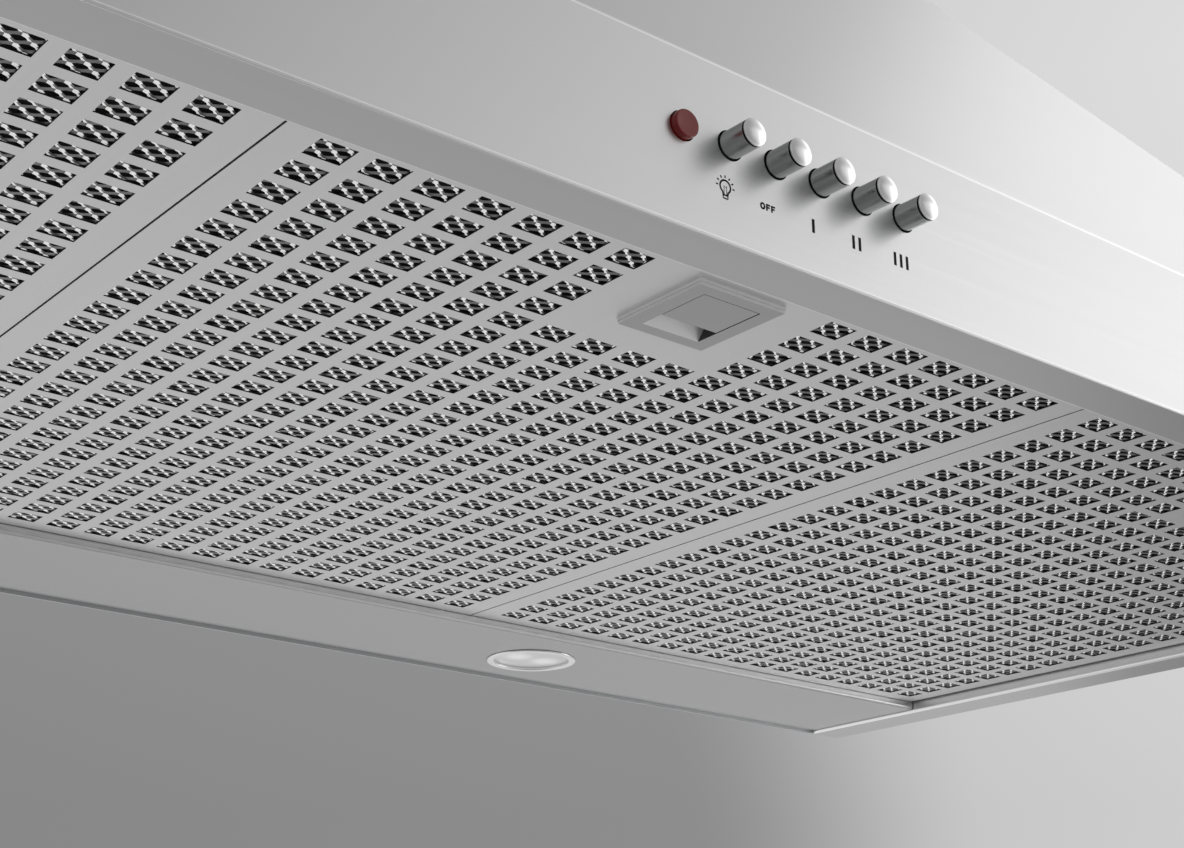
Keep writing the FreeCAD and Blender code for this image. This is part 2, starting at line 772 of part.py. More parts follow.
def blower_case():
    """Volute wrap whose outlet meets the collar's flange, and two side plates with inlets."""
    gauge = value("gauge")
    half = value("blower_half")
    over = value("overcut")
    wrap = scroll_region(gauge, -half, 2 * half).cut(scroll_region(0, -half - over, 2 * half + 2 * over))
    obj = doc.addObject("Part::Feature", "blower_wrap")
    obj.Shape = wrap
    keep(obj)
    along = Vector(1, 0, 0)
    middle = Vector(0, -value("axis_y"), value("axis_level"))
    inlet_radius = value("inlet_radius")
    start = middle - along * (half + 2 * gauge)
    inlet = Part.makeCylinder(inlet_radius, 2 * half + 4 * gauge, start, along)
    left = doc.addObject("Part::Feature", "blower_left_side")
    left.Shape = scroll_region(gauge, -half - gauge, gauge).cut(inlet)
    keep(left)
    plate = scroll_region(gauge, half, gauge).cut(inlet)
    seat = middle + along * half
    disc = Part.makeCylinder(value("motor_radius"), gauge, seat, along)
    arm_width = value("arm_width")
    for turn in (90, 210, 330):
        arm = Part.makeBox(gauge, inlet_radius + 2 * gauge, arm_width, Vector(half, 0, -arm_width / 2))
        arm.rotate(Vector(), along, turn)
        arm.translate(middle)
        plate = plate.fuse(arm)
    plate = plate.fuse(disc)
    bore = Part.makeCylinder(value("shaft_radius + gauge"), 3 * gauge, seat - along * gauge, along)
    right = doc.addObject("Part::Feature", "blower_right_side")
    right.Shape = plate.cut(bore).removeSplitter()
    keep(right)


def impeller():
    """Double-inlet squirrel cage: centre disc with hub, a ring of blades and two end rings."""
    body = new_body("impeller")
    for letter, text in (("y", "-axis_y"), ("z", "axis_level")):
        bind(body, "Placement.Base." + letter, text)

    def disc(name, outer, inner, middle, length):
        sketch = body.newObject("Sketcher::SketchObject", name + "_sketch")
        sketch.AttachmentSupport = [(origin_plane(body, "YZ_Plane"), "")]
        sketch.MapMode = "FlatFace"
        bind(sketch, "AttachmentOffset.Base.z", middle)
        for radius in (outer, inner):
            circle = sketch.addGeometry(Part.Circle(Vector(), Vector(0, 0, 1), value(radius)), False)
            sketch.addConstraint(Sketcher.Constraint("Coincident", circle, 3, -1, 1))
            index = sketch.addConstraint(Sketcher.Constraint("Radius", circle, value(radius)))
            bind(sketch, f"Constraints[{index}]", radius)
        pad = body.newObject("PartDesign::Pad", name)
        pad.Profile = sketch
        pad.Midplane = True
        bind(pad, "Length", length)
        return pad

    disc("wheel_disc", "wheel_radius", "shaft_radius", "0", "2")
    disc("wheel_hub", "shaft_radius * 3", "shaft_radius", "0", "2 * hub_half")
    inner = "(wheel_radius - blade_depth)"
    root = f"{inner} + blade_inset"
    tip = "wheel_radius - blade_inset"
    corners = [(root, "-blade_gauge/2"), (tip, "-blade_gauge/2 + blade_sweep"),
               (tip, "blade_gauge/2 + blade_sweep"), (root, "blade_gauge/2")]
    blade_sketch = outline_sketch(body, "blade_outline", "YZ_Plane", corners)
    blade = body.newObject("PartDesign::Pad", "wheel_blade")
    blade.Profile = blade_sketch
    blade.Midplane = True
    blade.Refine = False
    bind(blade, "Length", "2 * wheel_half - 1")
    doc.recompute()
    pattern = body.newObject("PartDesign::PolarPattern", "wheel_blades")
    pattern.Originals = [blade]
    pattern.Axis = (blade_sketch, ["N_Axis"])
    pattern.Angle = 360
    bind(pattern, "Occurrences", "blade_count")
    body.Tip = pattern
    for side, sign in SIDES:
        disc(f"wheel_ring_{side}", "wheel_radius", inner, f"{sign} * (wheel_half - 1)", "2")
    keep(body)


def motor():
    """Motor inside the wheel, and the shaft that carries the wheel's hub."""
    at = ("-axis_y", "axis_level")
    shell = cylinder("motor_can", "X", ("motor_start", *at), "motor_radius", "blower_half - motor_start")
    bore = cylinder("motor_bore", "X", ("motor_start - overcut", *at), "shaft_bore",
                    "blower_half - motor_start + 2 * overcut")
    rim = value("motor_radius")
    start = value("motor_start")
    soft = rounded("motor_soft", shell, "fold_radius", lambda e, p: near(p.x, start) and e.Length > rim)
    keep(cut("motor_shell", soft, bore))
    keep(cylinder("motor_shaft", "X", ("-hub_half - 4", *at), "shaft_radius", "blower_half + hub_half + 6"))


# ---------------------------------------------------------------- duct collar

def duct_collar():
    """Spigot through the top plate, its flange clamped below the plate, and a stop ring under the flaps."""
    at = ("0", "-duct_y")
    top = "top_level + gauge + collar_height"
    pivot = "top_level + gauge + flap_level"
    flange_base = "top_level - gauge"
    screw_level = f"{flange_base} - overcut"
    flange = cylinder("collar_flange_disc", "Z", (*at, flange_base), "collar_flange", "gauge")
    shoulder = cylinder("collar_shoulder_disc", "Z", (*at, flange_base), "collar_shoulder", "3 * gauge")
    tube = cylinder("collar_tube", "Z", (*at, flange_base), "collar_radius", f"{top} - ({flange_base})")
    bore = cylinder("collar_bore", "Z", (*at, screw_level), "collar_radius - collar_wall",
                    f"{top} - ({screw_level}) + overcut")
    stop = cylinder("collar_stop_disc", "Z", (*at, f"{pivot} - stop_drop"),
                    "collar_radius - collar_wall / 3", "stop_gauge")
    stop_bore = cylinder("collar_stop_bore", "Z", (*at, f"{pivot} - stop_drop - overcut"), "stop_radius",
                         "stop_gauge + 2 * overcut")
    pin_holes = cylinder("collar_pin_holes", "X", ("-collar_radius - overcut", "-duct_y", pivot),
                         "pin_radius", "2 * collar_radius + 2 * overcut")
    shell = cut("collar_shell", fuse("collar_blank", tube, shoulder, flange), bore)
    ring = cut("collar_stop", stop, stop_bore)
    screws = [
        cylinder(f"collar_screw_hole_{turn}", "Z",
                 (f"cos({turn}) * collar_screw_ring", f"-duct_y + sin({turn}) * collar_screw_ring",
                  screw_level),
                 "screw_shank", "gauge + 2 * overcut")
        for turn in SCREW_TURNS
    ]
    keep(cut("duct_collar", fuse("collar_whole", shell, ring), pin_holes, *screws))
    inset = "collar_wall / 5"
    keep(cylinder("damper_pin", "X", (f"-collar_radius + {inset}", "-duct_y", pivot), "pin_radius",
                  f"2 * (collar_radius - {inset})"))


def damper_flap(side, sign, spans):
    """Half-round flap that hangs on the pin by knuckles over the given stretches of x."""
    level = value("top_level + gauge + flap_level")
    y = -value("duct_y")
    gauge = value("flap_gauge")
    radius = value("flap_radius")
    bottom = level - gauge / 2
    reach = value("knuckle_radius") + 0.5
    tab_depth = reach + 2
    disc = Part.makeCylinder(radius, gauge, Vector(0, y, bottom))
    half_front = y + reach if sign > 0 else y - reach - radius
    half = Part.makeBox(2 * radius, radius, 3 * gauge, Vector(-radius, half_front, bottom - gauge))
    shape = disc.common(half)
    along = Vector(1, 0, 0)
    tab_front = y if sign > 0 else y - tab_depth
    for low, high in spans:
        tab = Part.makeBox(high - low, tab_depth, gauge, Vector(low, tab_front, bottom))
        knuckle = Part.makeCylinder(value("knuckle_radius"), high - low, Vector(low, y, level), along)
        shape = shape.fuse(tab).fuse(knuckle)
    bore = Part.makeCylinder(value("knuckle_bore"), 4 * radius, Vector(-2 * radius, y, level), along)
    obj = doc.addObject("Part::Feature", f"{side}_flap")
    obj.Shape = shape.cut(bore).removeSplitter()
    keep(obj)


# ---------------------------------------------------------------- electrics and fasteners

def terminal_box():
    """Mains junction box on the back panel, open to the front, with its screwed lid."""
    x = ("terminal_left", "terminal_left + terminal_size")
    z = ("terminal_bottom", "terminal_bottom + terminal_size")
    wall = "terminal_wall"
    outer = box("terminal_outer", x, ("-terminal_out", "-gauge"), z)
    inner = box("terminal_inner", (f"{x[0]} + {wall}", f"{x[1]} - {wall}"),
                ("-terminal_out - overcut", f"-gauge - {wall}"), (f"{z[0]} + {wall}", f"{z[1]} - {wall}"))
    keep(cut("terminal_box", outer, inner))
    keep(box("terminal_lid", x, (f"-terminal_out - {wall}", "-terminal_out"), z))


def capacitor():
    """Motor run capacitor in its round can, lying along the back panel."""
    can = cylinder("capacitor_can", "X",
                   ("capacitor_left", "-gauge - capacitor_radius - overcut", "capacitor_level"),
                   "capacitor_radius", "capacitor_length")
    end = value("capacitor_left + capacitor_length")
    rim = value("capacitor_radius")
    keep(rounded("capacitor", can, "fold_radius", lambda e, p: near(p.x, end) and e.Length > rim))


def mains_gland():
    """Bushing through the top plate for the mains cable, with its flange below the plate."""
    at = ("gland_x", "-gland_y")
    length = "gland_below + gauge + gland_above"
    neck = cylinder("gland_neck", "Z", (*at, "top_level - gland_below"),
                    "gland_radius - bezel_cup_gap / 2", length)
    flange = cylinder("gland_flange_disc", "Z", (*at, "top_level - gland_flange_gauge"), "gland_flange",
                      "gland_flange_gauge")
    bore = cylinder("gland_bore_tool", "Z", (*at, "top_level - gland_below - overcut"), "gland_bore",
                    f"{length} + 2 * overcut")
    keep(cut("mains_gland", fuse("gland_solid", neck, flange), bore))


def screws():
    """Pan-head screws of one size: four on the collar, four on the blower, two on the terminal lid."""
    head = value("screw_head")
    height = value("screw_head_height")
    shank = value("screw_shank") - 0.02
    solids = []

    def screw(seat, outward, depth):
        cap = Part.makeCylinder(head, height, seat, outward)
        if depth:
            cap = cap.fuse(Part.makeCylinder(shank, depth, seat, -outward)).removeSplitter()
        solids.append(cap)

    gauge = value("gauge")
    ring = value("collar_screw_ring")
    level = value("top_level - gauge")
    for turn in SCREW_TURNS:
        angle = math.radians(turn)
        seat = Vector(ring * math.cos(angle), ring * math.sin(angle) - value("duct_y"), level)
        screw(seat, Vector(0, 0, -1), 1.9 * gauge)
    side = value("blower_half + gauge")
    for dy, dz in BLOWER_SCREWS:
        screw(Vector(side, dy - value("axis_y"), dz + value("axis_level")), Vector(1, 0, 0), 0)
    lid = -value("terminal_out + terminal_wall")
    x = value("terminal_left + terminal_size / 2")
    inset = value("terminal_screw_inset")
    for z in (value("terminal_bottom") + inset, value("terminal_bottom + terminal_size") - inset):
        screw(Vector(x, lid, z), Vector(0, -1, 0), 0)
    obj = doc.addObject("Part::Feature", "body_screws")
    obj.Shape = Part.makeCompound(solids)
    keep(obj)


# ---------------------------------------------------------------- assembly and export

fascia_panel()
side_skirts()
canopy_panels()
back_panel()
top_plate()
lamp_panel()
for filter_side, filter_middle in FILTERS:
    filter_face(filter_side, filter_middle)
    filter_frame(filter_side, filter_middle)
    filter_mesh(filter_side, filter_middle)
    latch_bezel(filter_side, filter_middle)
    latch_slider(filter_side, filter_middle)
for button_place, button_name in enumerate(PRESSES):
    button(button_name, button_place)
pilot_lens()
switch_housing()
button_springs()
for lamp_side, lamp_sign in SIDES:
    lamp(lamp_side, lamp_sign)
lamp_insides()
blower_case()
impeller()
motor()
duct_collar()
damper_flap("front", -1, ((-60, -22), (22, 60)))
damper_flap("rear", 1, ((-20, 20),))
terminal_box()
capacitor()
mains_gland()
screws()
doc.recompute()

for item in doc.Objects:
    if "Invalid" in item.State or "Error" in item.State:
        raise RuntimeError(f"{item.Name} did not compute: {item.State}")
os.makedirs("parts", exist_ok=True)
for item in subparts:
    if item.Shape.isNull() or not item.Shape.isValid():
        raise RuntimeError(f"{item.Label} has no valid shape")
    item.Shape.exportStep(f"parts/{item.Label}.step")
print(len(subparts), "sub-parts written")
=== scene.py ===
import math

import bmesh
import bpy
from mathutils import Matrix, Vector


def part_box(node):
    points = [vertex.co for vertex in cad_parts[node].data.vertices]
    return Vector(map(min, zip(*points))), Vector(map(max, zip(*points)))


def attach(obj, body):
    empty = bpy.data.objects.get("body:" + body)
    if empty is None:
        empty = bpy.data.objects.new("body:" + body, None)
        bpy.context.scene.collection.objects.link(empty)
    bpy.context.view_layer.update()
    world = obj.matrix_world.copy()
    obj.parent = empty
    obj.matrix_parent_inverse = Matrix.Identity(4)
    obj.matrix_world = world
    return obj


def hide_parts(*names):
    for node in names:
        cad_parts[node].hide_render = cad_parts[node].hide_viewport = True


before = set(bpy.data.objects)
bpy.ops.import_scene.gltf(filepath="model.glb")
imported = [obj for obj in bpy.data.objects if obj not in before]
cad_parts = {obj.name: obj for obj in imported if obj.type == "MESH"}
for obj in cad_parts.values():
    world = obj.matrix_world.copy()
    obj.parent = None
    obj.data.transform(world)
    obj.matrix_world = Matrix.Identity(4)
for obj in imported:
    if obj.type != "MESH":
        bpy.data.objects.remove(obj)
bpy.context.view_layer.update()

# Looks of a stainless range hood. Everything is in metres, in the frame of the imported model:
# X across the hood, Y = 0 on the wall with the room at -Y, Z = 0 on the lower rim, +Z up.

MM = 0.001
SIDES = ("left", "right")
FILTERS = ("left", "centre", "right")
PRESSES = ("light", "off", "one", "two", "three")


# ------------------------------------------------------------------ sizes read from the frame

def box_mm(node):
    """Lowest and highest corner of a CAD node in millimetres."""
    low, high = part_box(node)
    return [v / MM for v in low], [v / MM for v in high]


def middle_of(low, high):
    """Centre of a box."""
    return [(a + b) / 2 for a, b in zip(low, high)]


FASCIA_LOW, FASCIA_HIGH = box_mm("fascia_panel")
SLOPE_HIGH = box_mm("canopy_front")[1]
PLATE_LOW, PLATE_HIGH = box_mm("top_plate")
SKIRT_LOW, SKIRT_HIGH = box_mm("right_skirt")
LAMP_LOW, LAMP_HIGH = box_mm("lamp_panel")

HALF_WIDTH = FASCIA_HIGH[0]
FRONT = FASCIA_LOW[1]
LIP_BACK = FASCIA_HIGH[1]
BAND_TOP = FASCIA_HIGH[2]
REAR = SKIRT_HIGH[1]
FLANGE_EDGE = SKIRT_LOW[0]
FILTER_LEVEL = box_mm("centre_filter_face")[0][2]
LAMP_CENTRE_Y = middle_of(*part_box("right_lamp_ring"))[1]

# Sheet metal, in millimetres.
GAUGE = 1.2
FOLD = 0.9
FOLD_STEPS = 6
CANOPY_FOLD = 1.4
CANOPY_STEPS = 12
CANOPY_THICK = (1.5, 1.9)
LEAST_BEND = 0.05
CORNER = 1.6
INNER_CORNER = 0.2
LIP_UPTURN = 9.0
LIP_BEND = 0.8
FLANGE_BEND = 1.8
BEND_LEVELS = (0.0, 0.06, 0.2, 0.45, 0.8, 1.3, 1.8)
FOLD_CORNER = 0.15
LIP_CORNER = 0.1
HOLE_CLEARANCE = 0.4
OVERRUN = 1
LAMP_LEDGE = 7.4
LAMP_FOLD = 1.8
LAMP_HOLE = 24.6

# Sides of a turned piece that is seen close up, and of a drill.
FINE = 96
DRILL_SIDES = 48


# ------------------------------------------------------------------ mesh helpers

def add_mesh(name, verts, faces):
    """New object from points in millimetres, with its faces turned outward."""
    mesh = bpy.data.meshes.new(name)
    mesh.from_pydata([tuple(c * MM for c in v) for v in verts], [], faces)
    work = bmesh.new()
    work.from_mesh(mesh)
    bmesh.ops.recalc_face_normals(work, faces=work.faces)
    work.to_mesh(mesh)
    work.free()
    obj = bpy.data.objects.new(name, mesh)
    bpy.context.scene.collection.objects.link(obj)
    return obj


def finish_piece(obj, body, materials, replaced=(), sharp=35, weighted=True):
    """Shading, materials and the frame's own calls for one piece."""
    for polygon in obj.data.polygons:
        polygon.use_smooth = True
    obj.data.set_sharp_from_angle(angle=math.radians(sharp))
    if weighted:
        flat = obj.modifiers.new("normals", "WEIGHTED_NORMAL")
        flat.keep_sharp = True
        flat.weight = 100
    for material in materials if isinstance(materials, (list, tuple)) else [materials]:
        obj.data.materials.append(material)
    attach(obj, body)
    if replaced:
        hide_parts(*replaced)
    return obj


def rounded_path(points, radii, steps=6):
    """Open path whose inner corners are replaced by arcs of the given radii."""
    out = [Vector(points[0])]
    for before, here, after, radius in zip(points, points[1:], points[2:], radii):
        before, here, after = Vector(before), Vector(here), Vector(after)
        back = (before - here).normalized()
        ahead = (after - here).normalized()
        half = back.angle(ahead) / 2
        if radius <= 0 or half > math.radians(89.5):
            out.append(here)
            continue
        reach = radius / math.tan(half)
        centre = here + (back + ahead).normalized() * (radius / math.sin(half))
        start = here + back * reach - centre
        end = here + ahead * reach - centre
        turn = start.angle_signed(end)
        for i in range(steps + 1):
            angle = -turn * i / steps
            spun = Vector((start.x * math.cos(angle) - start.y * math.sin(angle),
                           start.x * math.sin(angle) + start.y * math.cos(angle)))
            out.append(centre + spun)
    out.append(Vector(points[-1]))
    return out


def offset_path(points, distance):
    """Open path moved to its left by a distance, with mitred corners."""
    points = [Vector(p) for p in points]
    out = []
    for i, here in enumerate(points):
        sides = []
        if i > 0:
            d = (here - points[i - 1]).normalized()
            sides.append(Vector((-d.y, d.x)))
        if i < len(points) - 1:
            d = (points[i + 1] - here).normalized()
            sides.append(Vector((-d.y, d.x)))
        normal = sum(sides, Vector((0, 0))).normalized()
        out.append(here + normal * (distance / normal.dot(sides[0])))
    return out


def folded_outline(points, radius, gauge, steps=6):
    """Closed outline of a sheet whose outer face follows the points and whose body lies to their left."""
    inner = offset_path(points, gauge)
    outer_radii = []
    inner_radii = []
    for a, b, c in zip(points, points[1:], points[2:]):
        left_turn = (Vector(b) - Vector(a)).cross(Vector(c) - Vector(b)) > 0
        outer_radii.append(radius if left_turn else max(radius - gauge, LEAST_BEND))
        inner_radii.append(max(radius - gauge, LEAST_BEND) if left_turn else radius)
    return rounded_path(points, outer_radii, steps) + rounded_path(inner, inner_radii, steps)[::-1]


def prism(name, outline, axis, low, high):
    """Outline extruded along X (outline in y, z) or Z (outline in x, y)."""
    place = {
        "X": lambda p, t: (t, p[0], p[1]),
        "Z": lambda p, t: (p[0], p[1], t),
    }[axis]
    count = len(outline)
    verts = [place(p, low) for p in outline] + [place(p, high) for p in outline]
    faces = [(i, (i + 1) % count, count + (i + 1) % count, count + i) for i in range(count)]
    faces += [tuple(range(count)), tuple(range(count, 2 * count))]
    return add_mesh(name, verts, faces)


def lathe(name, profile, centre, axis="Z", segments=64, closed=True):
    """Profile of (radius, height) turned about Y or Z through a centre; heights run along the axis."""
    verts = []
    rings = []
    for radius, height in profile:
        if radius < 1e-6:
            rings.append([len(verts)] * segments)
            verts.append((0.0, 0.0, height))
            continue
        rings.append(list(range(len(verts), len(verts) + segments)))
        for i in range(segments):
            angle = 2 * math.pi * i / segments
            verts.append((radius * math.cos(angle), radius * math.sin(angle), height))
    faces = []
    pairs = list(zip(rings, rings[1:]))
    if closed:
        pairs.append((rings[-1], rings[0]))
    for low, high in pairs:
        for i in range(segments):
            j = (i + 1) % segments
            corner = list(dict.fromkeys((low[i], low[j], high[j], high[i])))
            if len(corner) > 2:
                faces.append(tuple(corner))
    turn = {
        "Y": Matrix.Rotation(math.radians(-90), 3, "X"),
        "Z": Matrix.Identity(3),
    }[axis]
    placed = [tuple(turn @ Vector(v) + Vector(centre)) for v in verts]
    return add_mesh(name, placed, faces)


def arc(centre, radius, start, end, steps):
    """Points (radius, height) of an arc, angles in degrees."""
    out = []
    for i in range(steps + 1):
        angle = math.radians(start + (end - start) * i / steps)
        out.append((centre[0] + radius * math.cos(angle), centre[1] + radius * math.sin(angle)))
    return out


def subtract(obj, drill):
    """Cut a drill out of a piece with an exact boolean, applied, and remove the drill."""
    step = obj.modifiers.new("hole", "BOOLEAN")
    step.operation = "DIFFERENCE"
    step.solver = "EXACT"
    step.object = drill
    graph = bpy.context.evaluated_depsgraph_get()
    cut = bpy.data.meshes.new_from_object(obj.evaluated_get(graph))
    obj.modifiers.clear()
    obj.data = cut
    bpy.data.objects.remove(drill)


# ------------------------------------------------------------------ materials

def new_material(name):
    """Material with nodes, its tree and its shader."""
    material = bpy.data.materials.new(name)
    material.use_nodes = True
    return material, material.node_tree, material.node_tree.nodes["Principled BSDF"]


def set_inputs(node, **values):
    """Set input values by socket name, with underscores for spaces."""
    for key, value in values.items():
        node.inputs[key.replace("_", " ")].default_value = value


def noise(tree, vector, scale, detail):
    """Factor of a noise texture over a vector."""
    texture = tree.nodes.new("ShaderNodeTexNoise")
    set_inputs(texture, Scale=scale, Detail=detail)
    tree.links.new(vector, texture.inputs["Vector"])
    return texture.outputs["Fac"]


def calculate(tree, operation, *terms):
    """Value of a math node whose terms are outputs or numbers."""
    node = tree.nodes.new("ShaderNodeMath")
    node.operation = operation
    for socket, term in zip(node.inputs, terms):
        if isinstance(term, (int, float)):
            socket.default_value = term
        else:
            tree.links.new(term, socket)
    return node.outputs["Value"]


def remap(tree, value, source, target, interpolation="LINEAR"):
    """Value carried from one range to another."""
    node = tree.nodes.new("ShaderNodeMapRange")
    node.interpolation_type = interpolation
    set_inputs(node, From_Min=source[0], From_Max=source[1], To_Min=target[0], To_Max=target[1])
    tree.links.new(value, node.inputs["Value"])
    return node.outputs["Result"]


def set_tone(tree, shader, factor, dark, light):
    """Base colour that runs between two tones."""
    tone = tree.nodes.new("ShaderNodeMix")
    tone.data_type = "RGBA"
    tone.inputs["A"].default_value = dark
    tone.inputs["B"].default_value = light
    tree.links.new(factor, tone.inputs["Factor"])
    tree.links.new(tone.outputs["Result"], shader.inputs["Base Color"])


def set_relief(tree, shader, height, strength, distance):
    """Fine bump from a height."""
    relief = tree.nodes.new("ShaderNodeBump")
    set_inputs(relief, Strength=strength, Distance=distance)
    tree.links.new(height, relief.inputs["Height"])
    tree.links.new(relief.outputs["Normal"], shader.inputs["Normal"])


def grey(value):
    return (value, value, value)


def brushed_metal(name, colour, roughness, grain=(6, 900, 900), streak=0.05, bump=0.02, mottle=0.02,
                  metallic=1.0, spread=0.0, along=None, turn=0.0):
    """Brushed or satin metal: long fine streaks in roughness and bump, and a slow change of tone."""
    material, tree, shader = new_material(name)
    set_inputs(shader, Metallic=metallic, Anisotropic=spread, Anisotropic_Rotation=turn)
    if along:
        direction = tree.nodes.new("ShaderNodeCombineXYZ")
        for socket, part in zip(direction.inputs, along):
            socket.default_value = part
        tree.links.new(direction.outputs["Vector"], shader.inputs["Tangent"])
    where = tree.nodes.new("ShaderNodeTexCoord").outputs["Object"]
    stretch = tree.nodes.new("ShaderNodeMapping")
    stretch.inputs["Scale"].default_value = grain
    tree.links.new(where, stretch.inputs["Vector"])
    fine = noise(tree, stretch.outputs["Vector"], 1.0, 3.0)
    slow = noise(tree, where, 4.0, 2.0)
    rough = remap(tree, fine, (0.0, 1.0), (roughness - streak, roughness + streak))
    tree.links.new(rough, shader.inputs["Roughness"])
    both = calculate(tree, "MULTIPLY_ADD", fine, 0.5, calculate(tree, "MULTIPLY", slow, 0.5))
    set_tone(tree, shader, both, [c * (1 - mottle) for c in colour] + [1],
             [min(1, c * (1 + mottle)) for c in colour] + [1])
    set_relief(tree, shader, fine, bump, 0.0002)
    return material


def speckled(name, colour, roughness, scale=900.0, spread=0.12, bump=0.15, **extra):
    """Moulded, painted or coated surface with a fine even texture."""
    material, tree, shader = new_material(name)
    set_inputs(shader, **extra)
    grain = noise(tree, tree.nodes.new("ShaderNodeTexCoord").outputs["Object"], scale, 4.0)
    set_tone(tree, shader, grain, [c * (1 - spread) for c in colour] + [1],
             [min(1, c * (1 + spread)) for c in colour] + [1])
    limits = (max(0.02, roughness * (1 - spread)), min(1.0, roughness * (1 + spread)))
    tree.links.new(remap(tree, grain, (0.0, 1.0), limits), shader.inputs["Roughness"])
    set_relief(tree, shader, grain, bump, 0.0001)
    return material


def frosted_glass(name, lamp_x, lamp_y):
    """Pale etched glass with a painted glow: faint emission, strongest in two painted highlight spots over the
    reflector's bright spots behind it.
    """
    spot_x = 0.0095
    spot_radius = 0.013
    material, tree, shader = new_material(name)
    set_inputs(shader, Roughness=0.38, IOR=1.5, Emission_Color=(1.0, 1.0, 1.0, 1))
    where = tree.nodes.new("ShaderNodeTexCoord").outputs["Object"]
    split = tree.nodes.new("ShaderNodeSeparateXYZ")
    tree.links.new(where, split.inputs["Vector"])
    beside = calculate(tree, "SUBTRACT", calculate(tree, "ABSOLUTE", split.outputs["X"]), lamp_x)
    spot = calculate(tree, "SUBTRACT", calculate(tree, "ABSOLUTE", beside), spot_x)
    across = calculate(tree, "ADD", split.outputs["Y"], -lamp_y)
    flat = tree.nodes.new("ShaderNodeCombineXYZ")
    tree.links.new(spot, flat.inputs["X"])
    tree.links.new(across, flat.inputs["Y"])
    far = tree.nodes.new("ShaderNodeVectorMath")
    far.operation = "LENGTH"
    tree.links.new(flat.outputs["Vector"], far.inputs[0])
    # Painted glow: emission rises towards the centre of each painted highlight spot.
    glow = remap(tree, far.outputs["Value"], (spot_radius, 0.0), (0.15, 0.34), "SMOOTHERSTEP")
    tree.links.new(glow, shader.inputs["Emission Strength"])
    grain = noise(tree, where, 2200.0, 3.0)
    set_tone(tree, shader, grain, (0.66, 0.66, 0.66, 1), (0.76, 0.76, 0.76, 1))
    set_relief(tree, shader, grain, 0.25, 0.0001)
    return material


# Grain of the steel sheets, per metre along each axis, and how the fascia's highlight is drawn out.
GRAIN_X = (8, 1400, 1400)
GRAIN_Y = (1400, 8, 1400)
DRAWN = {"spread": 0.5, "along": (1, 0, 0), "turn": 0.25}


STEEL_X = brushed_metal("steel_grain_x", grey(0.72), 0.40, grain=GRAIN_X, **DRAWN)
STEEL_Y = brushed_metal("steel_grain_y", grey(0.72), 0.40, grain=GRAIN_Y)
# Brighter copy of the sheet's steel on folds and bends: a painted highlight.
FOLD_PAINTED_HIGHLIGHT = brushed_metal("fold_painted_highlight", grey(0.95), 0.34, grain=GRAIN_X)
# Darker copies of the same steel on the lip and the side flanges: painted shade.
LIP_STEEL_PAINTED_SHADE = brushed_metal("lip_steel_painted_shade", grey(0.55), 0.40, grain=GRAIN_X, **DRAWN)
FLANGE_STEEL_PAINTED_SHADE = brushed_metal("flange_steel_painted_shade", grey(0.54), 0.40, grain=GRAIN_Y)
PLATE_STEEL = brushed_metal("filter_steel", grey(0.70), 0.45, grain=(1400, 10, 1400), bump=0.015)
# Near-black walls of the punched windows: painted shade.
CUT_EDGE_PAINTED_SHADE = speckled("punched_edge_painted_shade", grey(0.012), 0.7, Metallic=0.2)
STRAND = brushed_metal("mesh_strand", grey(0.30), 0.34, grain=(500, 500, 500), streak=0.08, bump=0.1,
                       metallic=0.7)
# Near-white, faintly glowing strand faces: a painted highlight with a painted glow.
STRAND_PAINTED_HIGHLIGHT = speckled("mesh_strand_painted_highlight", grey(0.93), 0.30, scale=700, spread=0.05, bump=0.1,
                      Emission_Color=(1.0, 1.0, 1.0, 1.0), Emission_Strength=0.34)
# Dark walls of the strand holes: painted shade.
STRAND_SIDE_PAINTED_SHADE = speckled("strand_side_painted_shade", grey(0.05), 0.6, scale=700, Metallic=0.5)
# Near-black stand-in for the inner mesh layers: painted shade.
MESH_PAINTED_SHADE = speckled("mesh_painted_shade", grey(0.006), 0.9, scale=700)
LATCH = speckled("latch_silver_paint", grey(0.46), 0.45, scale=1600, spread=0.05, bump=0.05, Metallic=0.6)
# Darker copy of the fascia steel on the lamp panel's floor and ledge: painted shade.
LAMP_STEEL_PAINTED_SHADE = brushed_metal("lamp_panel_steel_painted_shade", grey(0.52), 0.42, grain=GRAIN_X, **DRAWN)
# Near-white copy of the latch paint on the bevels, scoop slope and outer walls: painted highlight.
LATCH_PAINTED_HIGHLIGHT = speckled("latch_painted_highlight", grey(0.98), 0.38, scale=1600, spread=0.04, bump=0.05, Metallic=0.3)
# Dark copy of the latch paint inside the cup and on the slider's sides: painted shade.
LATCH_PAINTED_SHADE = speckled("latch_painted_shade", grey(0.05), 0.6, scale=1600, bump=0.05)
FRAME_METAL = brushed_metal("frame_aluminium", (0.62, 0.62, 0.63), 0.42, grain=(60, 60, 900))
# Turned barrel steel: light and dark streaks along the axis, partly turning grain and partly painted reflection
# bands.
BARREL_PAINTED_REFLECTION = brushed_metal("button_turned_painted_reflection", (0.50, 0.51, 0.51), 0.24, grain=(700, 10, 700), streak=0.10,
                       bump=0.7, mottle=0.75)
CAP = brushed_metal("button_polished", grey(0.90), 0.30, grain=(300, 300, 300), streak=0.03, bump=0.004)
LAMP_TRIM = brushed_metal("lamp_trim", grey(0.92), 0.35, grain=(400, 400, 400), bump=0.01)
GALVANISED = brushed_metal("galvanised", (0.58, 0.59, 0.60), 0.48, grain=(60, 60, 60), mottle=0.12,
                           bump=0.03)
BLACK = speckled("black_moulding", grey(0.022), 0.5)
